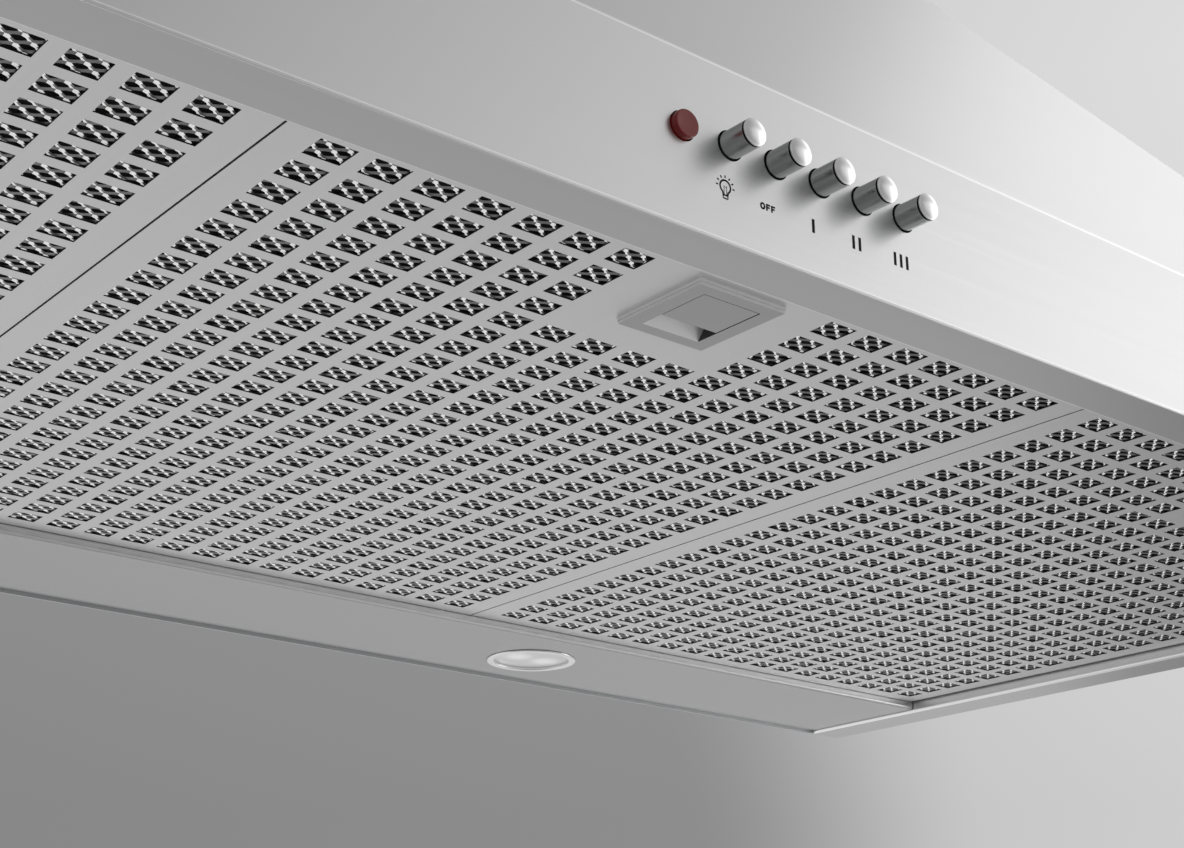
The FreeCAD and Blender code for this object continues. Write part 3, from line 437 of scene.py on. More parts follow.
# Near-black, barely reflecting rings in the gaps round each button: painted shade.
GROOVE_PAINTED_SHADE = speckled("groove_black_painted_shade", grey(0.006), 0.8, Specular_IOR_Level=0.1)
RUBBER = speckled("gland_rubber", grey(0.02), 0.75)
WHITE = speckled("white_moulding", (0.72, 0.72, 0.70), 0.4)
MOTOR = speckled("motor_enamel", (0.06, 0.065, 0.075), 0.35, scale=500)
SCREW = brushed_metal("zinc_screw", (0.66, 0.65, 0.62), 0.3, grain=(600, 600, 600))
INK = speckled("printed_black", grey(0.008), 0.7, bump=0.02, Specular_IOR_Level=0.2)
RED = speckled("red_lens", (0.40, 0.014, 0.009), 0.16, scale=300, bump=0.01, Transmission_Weight=0.45,
               IOR=1.49)
# Lamp glass with a painted glow and two painted highlight spots.
FROST_PAINTED_GLOW = frosted_glass("frosted_glass", 0.25, LAMP_CENTRE_Y)
REFLECTOR = brushed_metal("lamp_reflector", grey(0.9), 0.15, grain=(300, 300, 300))
BULB = speckled("bulb_glass", (0.9, 0.9, 0.88), 0.12, bump=0.0)
PLASTIC_COLLAR = speckled("collar_moulding", (0.06, 0.06, 0.062), 0.42, scale=700)


# ------------------------------------------------------------------ canopy and rim

def slope_inset(z, run, rise, radius):
    """How far the skin has moved inward at a level: upright, then an arc, then the straight slope."""
    bend = math.atan2(run, rise)
    start = BAND_TOP - radius * math.tan(bend / 2)
    end = start + radius * math.sin(bend)
    if z <= start:
        return 0.0
    if z < end:
        return radius - math.sqrt(max(radius * radius - (z - start) ** 2, 0))
    return (z - BAND_TOP) * run / rise


def ring_points(front_inset, side_inset, corner, part, steps=8):
    """Plan outline of the skin at one level, from one rear end round a front corner to the next."""
    x = HALF_WIDTH - side_inset
    y = FRONT + front_inset
    half = steps // 2

    def bend(sign, first, last):
        centre_x = sign * (x - corner)
        out = []
        for i in range(first, last + 1):
            angle = math.radians(180 + 90 * i / steps if sign < 0 else 270 + 90 * i / steps)
            out.append((centre_x + corner * math.cos(angle), y + corner + corner * math.sin(angle)))
        return out

    if part == "front":
        return bend(-1, half, steps) + bend(1, 0, half)
    if part == "left":
        return [(-x, REAR)] + bend(-1, 0, half)
    return bend(1, half, steps) + [(x, REAR)]


def ring_skin(name, levels, part, kinds):
    """Closed solid through a loop of levels, each (z, front inset, side inset, corner radius)."""
    rings = [[(px, py, z) for px, py in ring_points(front, side, corner, part)]
             for z, front, side, corner in levels]
    width = len(rings[0])
    verts = [p for ring in rings for p in ring]
    faces = []
    count = len(rings)
    for k in range(count):
        a = k * width
        b = (k + 1) % count * width
        faces += [(a + i, a + i + 1, b + i + 1, b + i) for i in range(width - 1)]
    faces.append(tuple(k * width for k in range(count)))
    faces.append(tuple(k * width + width - 1 for k in range(count)))
    obj = add_mesh(name, verts, faces)
    for k, kind in enumerate(kinds):
        for polygon in obj.data.polygons[k * (width - 1):(k + 1) * (width - 1)]:
            polygon.material_index = kind
    return obj


def canopy_levels():
    """Outer face from the fold up to the top, then the inner face back down."""
    rise = SLOPE_HIGH[2] - BAND_TOP
    runs = (PLATE_LOW[1] - FRONT, HALF_WIDTH - PLATE_HIGH[0])
    bends = [math.atan2(run, rise) for run in runs]
    starts = [BAND_TOP - CANOPY_FOLD * math.tan(bend / 2) for bend in bends]
    ends = [start + CANOPY_FOLD * math.sin(bend) for start, bend in zip(starts, bends)]
    low, high = min(starts), max(ends)
    heights = [low + (high - low) * i / CANOPY_STEPS for i in range(CANOPY_STEPS + 1)] + [SLOPE_HIGH[2]]
    outer = [(z, *[slope_inset(z, run, rise, CANOPY_FOLD) for run in runs], CORNER) for z in heights]
    inner = [(z, front + CANOPY_THICK[0], side + CANOPY_THICK[1], INNER_CORNER)
             for z, front, side, _ in (outer[-1], outer[-2], outer[0])]
    return outer + inner, low


CANOPY_LEVELS, FOLD_START = canopy_levels()


def build_canopy():
    for part, material in (("front", STEEL_X), ("left", STEEL_Y), ("right", STEEL_Y)):
        node = "canopy_" + part
        # The fold rows at the foot of each slope take material 1, the painted highlight.
        obj = ring_skin(node + "_skin", CANOPY_LEVELS, part, [1] * CANOPY_STEPS)
        finish_piece(obj, "hood", [material, FOLD_PAINTED_HIGHLIGHT], [node], sharp=50)


def band_levels():
    """Upright band, bottom fold, lip and upturn: outer face down and in, then the inner face back."""
    lip = LIP_BACK - FRONT
    flange = HALF_WIDTH - FLANGE_EDGE
    levels = [(FOLD_START, 0.0, 0.0, CORNER), (FOLD, 0.0, 0.0, CORNER)]
    for i in range(1, FOLD_STEPS + 1):
        angle = math.radians(90 * i / FOLD_STEPS)
        inset = FOLD - FOLD * math.cos(angle)
        levels.append((FOLD - FOLD * math.sin(angle), inset, inset, max(CORNER - inset, FOLD_CORNER)))

    def short_of(radius, z):
        return radius - math.sqrt(radius * radius - (radius - z) ** 2) if z < radius else 0.0

    for z in BEND_LEVELS:
        levels.append((z, lip - short_of(LIP_BEND, z), flange - short_of(FLANGE_BEND, z), LIP_CORNER))
    levels.append((LIP_UPTURN, lip, flange, LIP_CORNER))
    levels.append((LIP_UPTURN, lip - GAUGE, flange - GAUGE, LIP_CORNER))
    levels.append((GAUGE, lip - GAUGE, flange - GAUGE, LIP_CORNER))
    levels.append((GAUGE, GAUGE, GAUGE, INNER_CORNER))
    levels.append((FOLD_START, GAUGE, GAUGE, INNER_CORNER))
    # Fold and bend rows take material 1, painted brighter as a highlight; the lip and flange row takes material
    # 2, painted darker as shade.
    return levels, [0] + [1] * FOLD_STEPS + [2] + [1] * len(BEND_LEVELS)


def cut_round_holes(obj, centres, radius, axis_low, axis_high):
    """Round holes along Y through a piece."""
    depth = axis_high - axis_low
    for i, (x, z) in enumerate(centres):
        subtract(obj, lathe(f"drill_{i}", [(0, 0), (radius, 0), (radius, depth), (0, depth)],
                            (x, axis_low, z), axis="Y", segments=DRILL_SIDES, closed=False))


def build_band():
    levels, kinds = band_levels()
    fascia = ring_skin("fascia_skin", levels, "front", kinds)
    for material in (STEEL_X, FOLD_PAINTED_HIGHLIGHT, LIP_STEEL_PAINTED_SHADE):
        fascia.data.materials.append(material)
    centres = []
    for name in ["pilot_lens"] + [f"button_{p}_barrel" for p in PRESSES]:
        low, high = box_mm(name)
        centres.append(middle_of(low, high)[::2])
    radius = (high[0] - low[0]) / 2 + HOLE_CLEARANCE
    cut_round_holes(fascia, centres, radius, FRONT - OVERRUN, FRONT + GAUGE + OVERRUN)
    finish_piece(fascia, "hood", [], ["fascia_panel"], sharp=50)
    for side in SIDES:
        obj = ring_skin(f"{side}_skirt_skin", levels, side, kinds)
        steels = [STEEL_Y, FOLD_PAINTED_HIGHLIGHT, FLANGE_STEEL_PAINTED_SHADE]
        finish_piece(obj, "hood", steels, [side + "_skirt"], sharp=50)


def build_lamp_panel():
    """Floor, front wall and ledge folded from one sheet, with a round hole for each lamp."""
    front, rear = LAMP_LOW[1], LAMP_HIGH[1]
    low, top = LAMP_LOW[2], LAMP_HIGH[2]
    path = [Vector(p) for p in ((front + LAMP_LEDGE, top), (front, top), (front, low), (rear, low))]
    panel = prism("lamp_panel_skin", folded_outline(path, LAMP_FOLD, GAUGE), "X", LAMP_LOW[0], LAMP_HIGH[0])
    for i, side in enumerate(SIDES):
        x, y = middle_of(*box_mm(side + "_lamp_ring"))[:2]
        subtract(panel, lathe(f"lamp_drill_{i}", [(0, 0), (LAMP_HOLE, 0), (LAMP_HOLE, 6), (0, 6)],
                              (x, y, low - 2), closed=False))
    finish_piece(panel, "hood", [LAMP_STEEL_PAINTED_SHADE, FOLD_PAINTED_HIGHLIGHT, STEEL_X], ["lamp_panel"], sharp=50)
    # The front wall takes material 1, painted brighter as a highlight.
    for polygon in panel.data.polygons:
        if polygon.normal.y < -0.95:
            polygon.material_index = 1
        elif polygon.normal.y < -0.2 and polygon.normal.z < -0.2:
            polygon.material_index = 2


# ------------------------------------------------------------------ filters

WINDOW = (12.4, 10.6)
PITCH = (18.27, 15.66)
COLUMNS, ROWS = 18, 25
FIRST_ROW = -483.4
BLANK = 4
CUP_HOLE = (14.0, -483.2, -449.3)
PLATE_SHOWN = 0.52

# Expanded metal: sides of a hole, the ridge strips painted white and glowing as a painted highlight, and how
# blunt a hole's ends are.
HOLE_SIDES = 8
PAINTED_HIGHLIGHT_SIDES = (3, 6, 7)
REAR_POWER, FRONT_POWER = 1.2, 1.55
STRAND_SUNK = 0.06
FINE_CELL, COARSE_CELL = (7.2, 5.9), (14.4, 11.8)
NOTCH_HALF, NOTCH_BACK = 17.5, -446.5
CORE_HALF, CORE_BACK = 15, -448.5
CORE_GAP = (1.6, 2.2)


def punched_plate(name, low, high, middle):
    """Plate with a grid of square windows and a latch hole, as one closed mesh whose cut walls are painted
    near-black as shade.
    """
    z0, z1 = low[2], low[2] + PLATE_SHOWN
    half_w, half_d = WINDOW[0] / 2, WINDOW[1] / 2
    xs = [low[0]]
    for c in range(COLUMNS):
        x = middle + (c - (COLUMNS - 1) / 2) * PITCH[0]
        xs += [x - half_w, x + half_w]
    xs.append(high[0])
    ys = [low[1]]
    for r in range(ROWS):
        y = FIRST_ROW + r * PITCH[1]
        ys += [y - half_d, y + half_d]
    ys.append(high[1])
    xs = sorted(xs + [middle - CUP_HOLE[0], middle + CUP_HOLE[0]])
    ys = sorted(ys + list(CUP_HOLE[1:]))
    blank_low = middle - (BLANK / 2) * PITCH[0]
    blank_high = middle + (BLANK / 2) * PITCH[0]
    blank_back = FIRST_ROW + (BLANK - 0.5) * PITCH[1]

    def is_open(x, y):
        if abs(x - middle) < CUP_HOLE[0] and CUP_HOLE[1] < y < CUP_HOLE[2]:
            return True
        if blank_low < x < blank_high and y < blank_back:
            return False
        column = (x - middle) / PITCH[0] + (COLUMNS - 1) / 2
        row = (y - FIRST_ROW) / PITCH[1]
        near_x = abs(column - round(column)) * PITCH[0] < half_w and 0 <= round(column) < COLUMNS
        near_y = abs(row - round(row)) * PITCH[1] < half_d and 0 <= round(row) < ROWS
        return near_x and near_y

    nx, ny = len(xs), len(ys)
    solid = [[not is_open((xs[i] + xs[i + 1]) / 2, (ys[j] + ys[j + 1]) / 2) for j in range(ny - 1)]
             for i in range(nx - 1)]
    verts = [(x, y, z) for z in (z0, z1) for x in xs for y in ys]

    def index(k, i, j):
        return k * nx * ny + i * ny + j

    faces = []
    kinds = []
    for i in range(nx - 1):
        for j in range(ny - 1):
            if not solid[i][j]:
                continue
            faces.append((index(0, i, j), index(0, i, j + 1), index(0, i + 1, j + 1), index(0, i + 1, j)))
            faces.append((index(1, i, j), index(1, i + 1, j), index(1, i + 1, j + 1), index(1, i, j + 1)))
            kinds += [0, 0]
            for di, dj, a, b in ((-1, 0, (i, j), (i, j + 1)), (1, 0, (i + 1, j), (i + 1, j + 1)),
                                 (0, -1, (i, j), (i + 1, j)), (0, 1, (i, j + 1), (i + 1, j + 1))):
                ni, nj = i + di, j + dj
                outside = not (0 <= ni < nx - 1 and 0 <= nj < ny - 1)
                if outside or not solid[ni][nj]:
                    faces.append((index(0, *a), index(0, *b), index(1, *b), index(1, *a)))
                    # Window walls take material 1, painted near-black as shade.
                    kinds.append(0 if outside else 1)
    used = sorted({v for face in faces for v in face})
    renumber = {old: new for new, old in enumerate(used)}
    obj = add_mesh(name, [verts[v] for v in used], [tuple(renumber[v] for v in face) for face in faces])
    obj.data.polygons.foreach_set("material_index", kinds)
    return obj


def expanded_sheet(name, cell, span, keep_out, ring, level, thick):
    """Expanded metal round (0, 0): diamond cells whose strands lean from one hole to the next."""
    px, py = cell
    rise = max(dz for _, _, dz in ring)
    away = 1 if thick > 0 else -1
    outline = [(px / 2, 0), (px / 4, py / 4), (0, py / 2), (-px / 4, py / 4),
               (-px / 2, 0), (-px / 4, -py / 4), (0, -py / 2), (px / 4, -py / 4)]
    verts = []
    shared = {}
    faces = []
    kinds = []

    def shared_vertex(x, y, z):
        key = (round(x, 3), round(y, 3))
        if key not in shared:
            shared[key] = len(verts)
            verts.append((x, y, z))
        return shared[key]

    columns = int(span[0] / px) + 2
    rows = int(span[1] / (py / 2)) + 2
    for j in range(-rows // 2, rows // 2 + 1):
        for i in range(-columns // 2, columns // 2 + 1):
            cx = i * px + (j % 2) * px / 2
            cy = j * py / 2
            if abs(cx) > span[0] / 2 - px / 2 or abs(cy) > span[1] / 2 - py / 2:
                continue
            if keep_out[0] < cx < keep_out[1] and keep_out[2] < cy < keep_out[3]:
                continue
            ridge = [shared_vertex(cx + x, cy + y, level + away * rise / 2) for x, y in outline]
            edge = len(verts)
            for x, y, dz in ring:
                verts.append((cx + x, cy + y, level + away * dz))
            back = len(verts)
            for x, y, dz in ring:
                verts.append((cx + x, cy + y, level + away * dz + thick))
            for k in range(HOLE_SIDES):
                n = (k + 1) % HOLE_SIDES
                faces.append((ridge[k], ridge[n], edge + n, edge + k))
                faces.append((edge + k, edge + n, back + n, back + k))
                # Ridge strips on the listed sides take material 2, the painted highlight; hole walls take
                # material 1, painted dark as shade.
                kinds += [2 if k in PAINTED_HIGHLIGHT_SIDES else 0, 1]
    mesh = bpy.data.meshes.new(name)
    mesh.from_pydata([tuple(c * MM for c in v) for v in verts], [], faces)
    mesh.polygons.foreach_set("material_index", kinds)
    if away > 0:
        mesh.flip_normals()
    return mesh


def hole_ring(half_x, front, rear, rise):
    """Rounded diamond hole, blunter at the front, whose rear edge lies a rise deeper than its front edge."""
    out = []
    for k in range(HOLE_SIDES):
        angle = math.radians(360 / HOLE_SIDES * k)
        c, q = math.cos(angle), math.sin(angle)
        power = 2 / (REAR_POWER if q > 0 else FRONT_POWER)
        x = half_x * math.copysign(abs(c) ** power, c)
        reach = rear if q > 0 else front
        y = reach * math.copysign(abs(q) ** power, q)
        out.append((x, y, rise * (y + front) / (front + rear)))
    return out


def build_filters():
    mesh_low, mesh_high = box_mm("centre_filter_mesh")
    middle_y = middle_of(mesh_low, mesh_high)[1]
    span = (mesh_high[0] - mesh_low[0] - 4, mesh_high[1] - mesh_low[1] - 2)
    notch = (-NOTCH_HALF, NOTCH_HALF, mesh_low[1] - middle_y - 1, NOTCH_BACK - middle_y)
    level = FILTER_LEVEL + PLATE_SHOWN - STRAND_SUNK
    top = mesh_high[2]
    strands = expanded_sheet("strands", FINE_CELL, span, notch, hole_ring(2.4, 1.8, 2.1, 0.55), level, 0.4)
    coarse = expanded_sheet("top_strands", COARSE_CELL, span, (-24, 24, notch[2], notch[3] + 6),
                            hole_ring(5.0, 3.9, 4.3, 1.0), top, -0.8)
    for side in FILTERS:
        body = side + "_filter"
        low, high = box_mm(f"{side}_filter_face")
        middle = middle_of(low, high)[0]
        face = punched_plate(f"{side}_filter_plate", low, high, middle)
        finish_piece(face, body, [PLATE_STEEL, CUT_EDGE_PAINTED_SHADE], [f"{side}_filter_face"], weighted=False)
        for label, mesh in (("strands", strands), ("top_strands", coarse)):
            copy = mesh.copy()
            obj = bpy.data.objects.new(f"{side}_mesh_{label}", copy)
            bpy.context.scene.collection.objects.link(obj)
            copy.transform(Matrix.Translation((middle * MM, middle_y * MM, 0)))
            finish_piece(obj, body, [STRAND, STRAND_SIDE_PAINTED_SHADE, STRAND_PAINTED_HIGHLIGHT], sharp=40, weighted=False)
        (x0, y0, _), (x1, y1, _) = box_mm(f"{side}_filter_mesh")
        # A near-black block stands in for the deeper mesh layers, painted as the shade behind the strands.
        left, right = middle - CORE_HALF, middle + CORE_HALF
        outline = [(x0, y0), (left, y0), (left, CORE_BACK), (right, CORE_BACK),
                   (right, y0), (x1, y0), (x1, y1), (x0, y1)]
        core = prism(f"{side}_mesh_core", outline, "Z", level + CORE_GAP[0], top - CORE_GAP[1])
        finish_piece(core, body, MESH_PAINTED_SHADE, [f"{side}_filter_mesh"])


# ------------------------------------------------------------------ controls

# Button details in millimetres. GUIDE is (beyond the barrel's radius, depth) round its section.
BARREL_RIM = 0.15
NECK, NECK_DEPTH = 0.8, 0.7
BARREL_BACK = 8
STEM_RADIUS = 2.0
GROOVE_INNER, GROOVE_OUTER, GROOVE_GAP = 0.65, 0.03, 0.02
CAP_RIM = 0.3
CAP_STEPS = 14
GUIDE_PROUD = 0.15
GUIDE = ((0.05, 0.03), (0.08, 0), (0.42, 0), (0.48, 0.05), (0.48, 0.15), (0.35, 0.15), (0.35, 2.4), (0.05, 2.4))


def build_buttons():
    """Drawn barrel, black groove, shallow domed cap, and the black guide ring in the fascia."""
    for press in PRESSES:
        body = "button_" + press
        low, high = box_mm(f"button_{press}_barrel")
        cap_low, cap_high = box_mm(f"button_{press}_cap")
        x, start, z = (low[0] + high[0]) / 2, low[1], (low[2] + high[2]) / 2
        radius = (high[0] - low[0]) / 2
        back, end = FRONT + BARREL_BACK - start, high[1] - start
        neck = radius - NECK_DEPTH
        profile = [(0, 0.05), (neck, 0.05), (neck, NECK), (radius - BARREL_RIM, NECK)]
        profile += arc((radius - BARREL_RIM, NECK + BARREL_RIM), BARREL_RIM, -60, 0, 3)
        profile += [(radius, back), (STEM_RADIUS, back), (STEM_RADIUS, end), (0, end)]
        barrel = lathe(f"button_{press}_sleeve", profile, (x, start, z), axis="Y", segments=FINE, closed=False)
        finish_piece(barrel, body, BARREL_PAINTED_REFLECTION, [f"button_{press}_barrel"])
        # A near-black ring fills the gap between barrel and cap, painted as the shade in the gap.
        profile = [(radius - GROOVE_INNER, GROOVE_GAP), (radius - GROOVE_OUTER, GROOVE_GAP),
                   (radius - GROOVE_OUTER, NECK - GROOVE_GAP), (radius - GROOVE_INNER, NECK - GROOVE_GAP)]
        black_ring = lathe(f"button_{press}_groove", profile, (x, start, z), axis="Y", segments=FINE)
        finish_piece(black_ring, body, GROOVE_PAINTED_SHADE, weighted=False)
        deep = cap_high[1] - cap_low[1]
        rise = deep - CAP_RIM - 0.05
        ball = ((radius - CAP_RIM) ** 2 + rise * rise) / (2 * rise)
        spread = math.asin((radius - CAP_RIM) / ball)
        turns = [spread * i / CAP_STEPS for i in range(CAP_STEPS + 1)]
        profile = [(ball * math.sin(turn), ball * (1 - math.cos(turn))) for turn in turns]
        edge = (radius - CAP_RIM, rise + CAP_RIM * math.cos(spread))
        profile += arc(edge, CAP_RIM, math.degrees(spread) - 90, 0, 6)[1:]
        profile += [(radius, deep), (0, deep)]
        cap = lathe(f"button_{press}_dome", profile, (x, cap_low[1], z), axis="Y", segments=FINE, closed=False)
        finish_piece(cap, body, CAP, [f"button_{press}_cap"])
        # The black guide ring fills the hole's gap in the fascia, painted near-black as the shade in the gap.
        profile = [(radius + out, depth) for out, depth in GUIDE]
        guide = lathe(f"button_{press}_guide", profile, (x, FRONT - GUIDE_PROUD, z), axis="Y", segments=FINE)
        finish_piece(guide, "hood", GROOVE_PAINTED_SHADE, weighted=False)


def build_pilot():
    low, high = box_mm("pilot_lens")
    x, _, z = middle_of(low, high)
    radius = (high[0] - low[0]) / 2
    length = high[1] - low[1]
    edge = 0.45
    profile = [(0, 0.12), (radius - 1.2, 0.1)] + arc((radius - edge, edge), edge, -90, 0, 6)
    profile += [(radius, length), (0, length)]
    lens = lathe("pilot_lens_red", profile, (x, low[1], z), axis="Y", segments=FINE, closed=False)
    finish_piece(lens, "hood", RED, ["pilot_lens"])


def stroke(points, width, closed=False):
    """Ribbon of quads of a width along a line of (x, z) points, as corner pairs."""
    points = [Vector(p) for p in points]
    count = len(points)
    pairs = []
    for i, here in enumerate(points):
        before = points[(i - 1) % count] if closed or i else here
        after = points[(i + 1) % count] if closed or i < count - 1 else here
        along = (after - before).normalized()
        side = Vector((-along.y, along.x)) * width / 2
        pairs.append((here + side, here - side))
    if closed:
        pairs.append(pairs[0])
    return pairs


def build_legend():
    """Printed generic marks under the buttons: a bulb, OFF, and one, two and three bars.

    Offsets from each mark's own point, and stroke widths, are millimetres of the drawing.
    """
    ink = 0.04
    y0, y1 = FRONT - ink, FRONT + ink
    level = 17.2
    lines = []
    place = {press: middle_of(*box_mm(f"button_{press}_barrel"))[0] for press in PRESSES}
    bx, bz = place["light"] - 2.5, level + 1.4
    globe = []
    for i in range(25):
        angle = math.radians(-58 + (360 - 64) * i / 24)
        globe.append((bx + 2.15 * math.cos(angle), bz + 2.15 * math.sin(angle)))
    globe = [(bx + 0.95, bz - 2.75)] + globe + [(bx - 0.95, bz - 2.75)]
    lines.append(stroke(globe, 0.62))
    lines.append(stroke([(bx - 1.1, bz - 2.9), (bx + 1.1, bz - 2.9)], 0.55))
    screw_cap = [(bx - 1.0, bz - 2.9), (bx - 0.95, bz - 4.0), (bx + 0.95, bz - 4.0), (bx + 1.0, bz - 2.9)]
    lines.append(stroke(screw_cap, 0.5))
    filament = [(bx - 0.5, bz - 2.7), (bx - 0.55, bz + 0.3), (bx, bz - 0.4), (bx + 0.55, bz + 0.3),
                (bx + 0.5, bz - 2.7)]
    lines.append(stroke(filament, 0.2))
    for turn in range(0, 181, 30):
        angle = math.radians(turn)
        c, q = math.cos(angle), math.sin(angle)
        lines.append(stroke([(bx + 2.95 * c, bz + 2.95 * q), (bx + 3.85 * c, bz + 3.85 * q)], 0.48))
    ox = place["off"] - 6.25
    ring = []
    for i in range(24):
        angle = 2 * math.pi * i / 24
        ring.append((ox - 0.15 + 0.78 * math.cos(angle), level + 0.9 * math.sin(angle)))
    lines.append(stroke(ring, 0.66, closed=True))
    for fx in (ox + 1.6, ox + 3.75):
        lines.append(stroke([(fx, level - 1.15), (fx, level + 1.15)], 0.66))
        lines.append(stroke([(fx, level + 0.92), (fx + 1.45, level + 0.92)], 0.58))
        lines.append(stroke([(fx, level + 0.02), (fx + 1.2, level + 0.02)], 0.58))
    for press, count, shift in (("one", 1, -3.9), ("two", 2, -3.75), ("three", 3, -2.3)):
        for i in range(count):
            x = place[press] + shift + (i - (count - 1) / 2) * 2.9
            lines.append(stroke([(x, level - 2.4), (x, level + 2.4)], 1.2))
    verts = []
    faces = []
    for pairs in lines:
        base = len(verts)
        for a, b in pairs:
            verts += [(a.x, y0, a.y), (b.x, y0, b.y), (a.x, y1, a.y), (b.x, y1, b.y)]
        last = len(pairs) - 1
        for i in range(last):
            q = base + 4 * i
            r = q + 4
            faces += [(q, q + 1, r + 1, r), (q + 2, r + 2, r + 3, q + 3),
                      (q, r, r + 2, q + 2), (q + 1, q + 3, r + 3, r + 1)]
        if pairs[0][0] != pairs[-1][0]:
            end = base + 4 * last
            faces += [(base, base + 2, base + 3, base + 1), (end, end + 1, end + 3, end + 2)]
    legend = add_mesh("button_legend", verts, faces)
    finish_piece(legend, "hood", INK, weighted=False)


# ------------------------------------------------------------------ lamps

# Lamp trim in millimetres: opening, its rounding, the neck that passes the panel, and the glass.
SIGHT, SIGHT_EDGE = 21.5, 0.5
NECK_OUTER, NECK_INNER = 24.3, 23.5
TRIM_EDGE = 0.7
GASKET_INNER = 24.35
GLASS_DOME, GLASS_RADIUS, GLASS_SAG = 21.3, 23.1, 0.35


def build_lamps():
    for side in SIDES:
        low, high = box_mm(side + "_lamp_ring")
        centre = (*middle_of(low, high)[:2], 0)
        outer = (high[0] - low[0]) / 2
        bottom, top = low[2], high[2]
        level = LAMP_LOW[2]
        profile = [(SIGHT, level + 0.4), (SIGHT, bottom + SIGHT_EDGE)]
        profile += arc((SIGHT + SIGHT_EDGE, bottom + SIGHT_EDGE), SIGHT_EDGE, 180, 270, 4)
        profile += arc((outer - TRIM_EDGE, bottom + TRIM_EDGE), TRIM_EDGE, 270, 360, 5)
        profile += [(outer, level - 0.3), (NECK_OUTER, level - 0.3), (NECK_OUTER, top), (NECK_INNER, top),
                    (NECK_INNER, level + 0.4)]
        ring = lathe(side + "_lamp_trim", profile, centre, segments=FINE)
        finish_piece(ring, "hood", LAMP_TRIM, [side + "_lamp_ring"])
        profile = [(GASKET_INNER, level - 0.28), (outer - 0.12, level - 0.28),
                   (outer - 0.12, level - 0.01), (GASKET_INNER, level - 0.01)]
        black_ring = lathe(side + "_lamp_gasket", profile, centre, segments=FINE)
        finish_piece(black_ring, "hood", RUBBER, weighted=False)
        glass_low, glass_high = box_mm(side + "_lamp_glass")
        face, back = glass_low[2], glass_high[2]
        turns = [math.radians(a) for a in range(15, 91, 15)]
        profile = [(0, face)] + [(GLASS_DOME * math.sin(a), face + GLASS_SAG * (1 - math.cos(a))) for a in turns]
        profile += [(GLASS_RADIUS, face + 0.5), (GLASS_RADIUS, back), (0, back)]
        glass = lathe(side + "_lamp_lens", profile, centre, segments=FINE, closed=False)
        finish_piece(glass, "hood", FROST_PAINTED_GLOW, [side + "_lamp_glass"])


# ------------------------------------------------------------------ CAD nodes that stay

# Latch cup, in millimetres: half its width, and the level its bevel ends at.
CUP_HALF = 13
CUP_TOP = 14.1

DRESS = (
    (GALVANISED, ("back_panel", "top_plate", "blower_wrap", "blower_left_side", "blower_right_side", "impeller")),
    (PLASTIC_COLLAR, ("duct_collar", "front_flap", "rear_flap")),
    (SCREW, ("motor_shaft", "damper_pin", "body_screws", "button_springs")),
    (BLACK, ("terminal_box", "terminal_lid", "switch_housing")),
    (MOTOR, ("motor_shell",)),
    (WHITE, ("capacitor",)),
    (RUBBER, ("mains_gland",)),
    (REFLECTOR, ("lamp_cans",)),
    (BULB, ("lamp_bulbs",)),
)


def dress_cad():
    """Materials of the CAD nodes that are shown as they are, and the latch cups' faces painted brighter as
    highlight and darker as shade.
    """
    looks = {node: material for material, nodes in DRESS for node in nodes}
    for side in FILTERS:
        looks[f"{side}_filter_frame"] = FRAME_METAL
        looks[f"{side}_latch_bezel"] = LATCH
        looks[f"{side}_latch_slider"] = LATCH
    for node, material in looks.items():
        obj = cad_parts[node]
        obj.data.materials.clear()
        obj.data.materials.append(material)
        for polygon in obj.data.polygons:
            polygon.material_index = 0
    for side in FILTERS:
        middle = middle_of(*box_mm(f"{side}_latch_slider"))[0]
        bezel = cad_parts[f"{side}_latch_bezel"].data
        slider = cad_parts[f"{side}_latch_slider"].data
        for mesh in (bezel, slider):
            mesh.materials.append(LATCH_PAINTED_HIGHLIGHT)
            mesh.materials.append(LATCH_PAINTED_SHADE)
        for polygon in bezel.polygons:
            centre = polygon.center / MM
            across = abs(centre.x - middle) < CUP_HALF
            inside = across and CUP_HOLE[1] < centre.y < CUP_HOLE[2] and centre.z < CUP_TOP
            # Downward-sloping cup faces and the bezel's outer walls are painted bright as a highlight (material
            # 1); other cup faces are painted dark as shade (material 2).
            if inside and -0.9 < polygon.normal.z < -0.3:
                polygon.material_index = 1
            elif inside and polygon.normal.z > -0.3:
                polygon.material_index = 2
            elif abs(polygon.normal.z) < 0.5 and centre.z < FILTER_LEVEL:
                polygon.material_index = 1
        # The slider's sides are painted dark as shade.
        for polygon in slider.polygons:
            if abs(polygon.normal.z) < 0.5:
                polygon.material_index = 2


# ------------------------------------------------------------------ stage, lights and camera

FLOOR_HALF = 20000
FLOOR_LEVEL = -4300


def build_stage():
    half = FLOOR_HALF
    corners = [(-half, -half), (half, -half), (half, half), (-half, half)]
    floor = add_mesh("floor", [(x, y, FLOOR_LEVEL) for x, y in corners], [(0, 1, 2, 3)])
    floor.data.materials.append(speckled("pale_floor", grey(0.62), 0.6, scale=40, spread=0.02, bump=0.0))


def area_light(name, place, aim, size, power):
    """Rectangular light turned from its place towards an aim, and not seen by the camera."""
    data = bpy.data.lights.new(name, "AREA")
    data.shape = "RECTANGLE"
    data.size, data.size_y = size
    data.energy = power
    obj = bpy.data.objects.new(name, data)
    obj.location = place
    obj.rotation_euler = (Vector(aim) - Vector(place)).to_track_quat("-Z", "Y").to_euler()
    bpy.context.scene.collection.objects.link(obj)
    obj.visible_camera = False


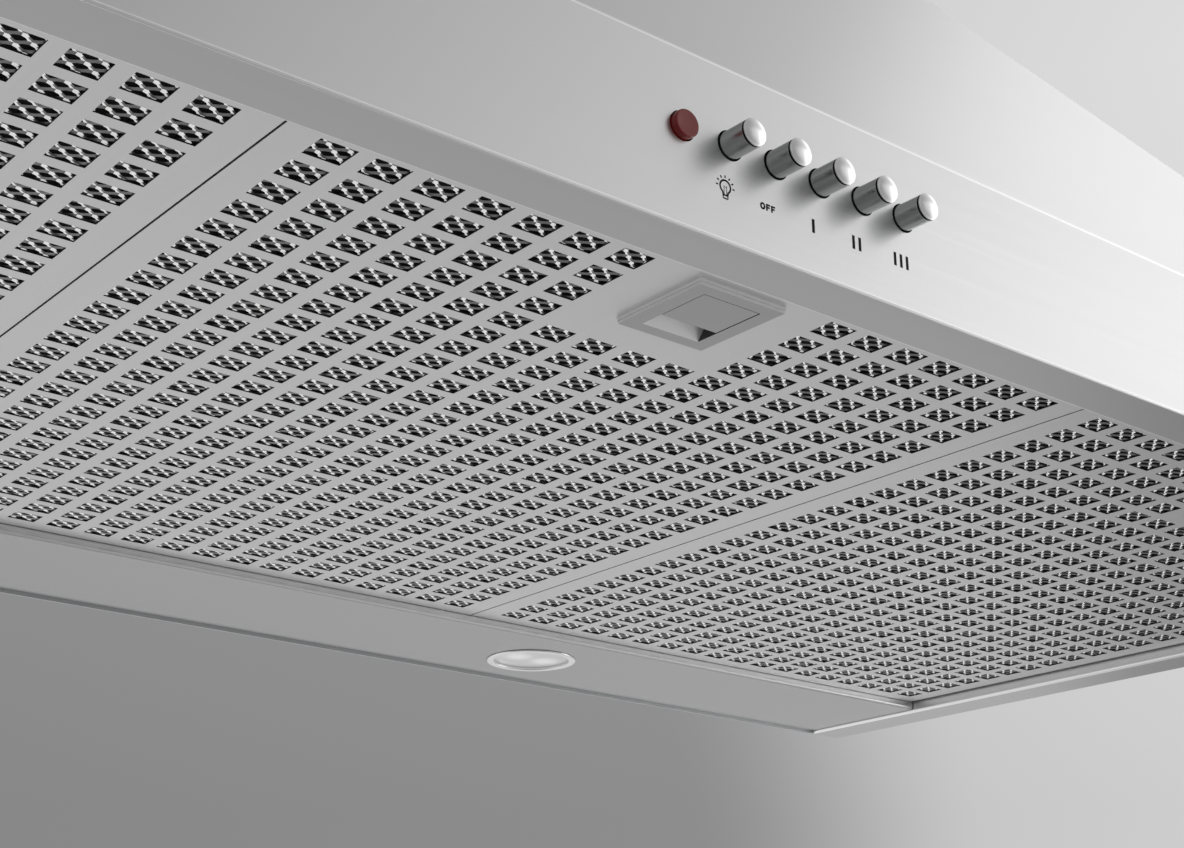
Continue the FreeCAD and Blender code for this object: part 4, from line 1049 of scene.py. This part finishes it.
def build_lights():
    """Soft studio light: a key from the right front, a card low behind, and a weak fill from the left."""
    area_light("key_right", (3.0, -1.8, 0.9), (0.1, -0.4, 0.0), (2.2, 2.0), 10.0)
    area_light("front", (1.5, -2.8, 0.9), (0.0, -0.4, 0.0), (2.2, 1.6), 3.4)
    area_light("rear_low", (0.2, 0.4, -0.52), (0.3, -0.8, -0.4), (2.8, 0.78), 3.6)
    area_light("right_front_low", (2.6, -1.2, -0.7), (0.1, -0.3, 0.0), (1.2, 0.7), 9)
    area_light("overhead", (2.8, -0.1, 1.7), (0.3, -0.3, 0.1), (1.6, 2.0), 7)
    area_light("front_left", (-1.8, -2.6, 0.9), (0.0, -0.4, 0.0), (1.8, 1.8), 2)
    area_light("floor_front", (0.8, -1.0, -0.86), (0.1, -0.5, 0.0), (1.2, 0.6), 1.0)


def build_world():
    """Pale grey surroundings that get brighter towards +X, and are dimmer on the wall's side."""
    world = bpy.data.worlds.new("studio")
    bpy.context.scene.world = world
    world.use_nodes = True
    tree = world.node_tree
    split = tree.nodes.new("ShaderNodeSeparateXYZ")
    tree.links.new(tree.nodes.new("ShaderNodeTexCoord").outputs["Generated"], split.inputs["Vector"])
    across = remap(tree, split.outputs["X"], (0.25, 0.95), (0.28, 0.78))
    rear = remap(tree, split.outputs["Y"], (0.62, 0.74), (0.0, 0.9), "SMOOTHSTEP")
    shade = tree.nodes.new("ShaderNodeMix")
    shade.inputs["B"].default_value = 0.27
    tree.links.new(rear, shade.inputs["Factor"])
    tree.links.new(across, shade.inputs["A"])
    height = remap(tree, split.outputs["Z"], (0.15, 0.5), (0.88, 1.14))
    background = tree.nodes["Background"]
    background.inputs["Color"].default_value = (1.0, 1.0, 1.0, 1)
    strength = calculate(tree, "MULTIPLY", shade.outputs["Result"], height)
    tree.links.new(strength, background.inputs["Strength"])


def build_camera():
    """Camera below the left front of the hood, looking up to the right."""
    data = bpy.data.cameras.new("camera")
    data.lens = 57.38
    data.sensor_width = 36.0
    data.clip_start = 0.01
    camera = bpy.data.objects.new("camera", data)
    right = Vector((0.77584, -0.63093, 0.00032))
    down = Vector((0.21994, 0.26998, -0.93741))
    ahead = Vector((0.59136, 0.72735, 0.34822))
    turn = Matrix((right, -down, -ahead)).transposed().to_4x4()
    camera.matrix_world = Matrix.Translation((-0.39396, -0.89306, -0.24867)) @ turn
    bpy.context.scene.collection.objects.link(camera)
    bpy.context.scene.camera = camera


build_camera()
build_world()
build_lights()
build_stage()
build_canopy()
build_band()
build_lamp_panel()
build_filters()
build_buttons()
build_pilot()
build_legend()
build_lamps()
dress_cad()
bpy.context.scene.view_settings.view_transform = "Standard"
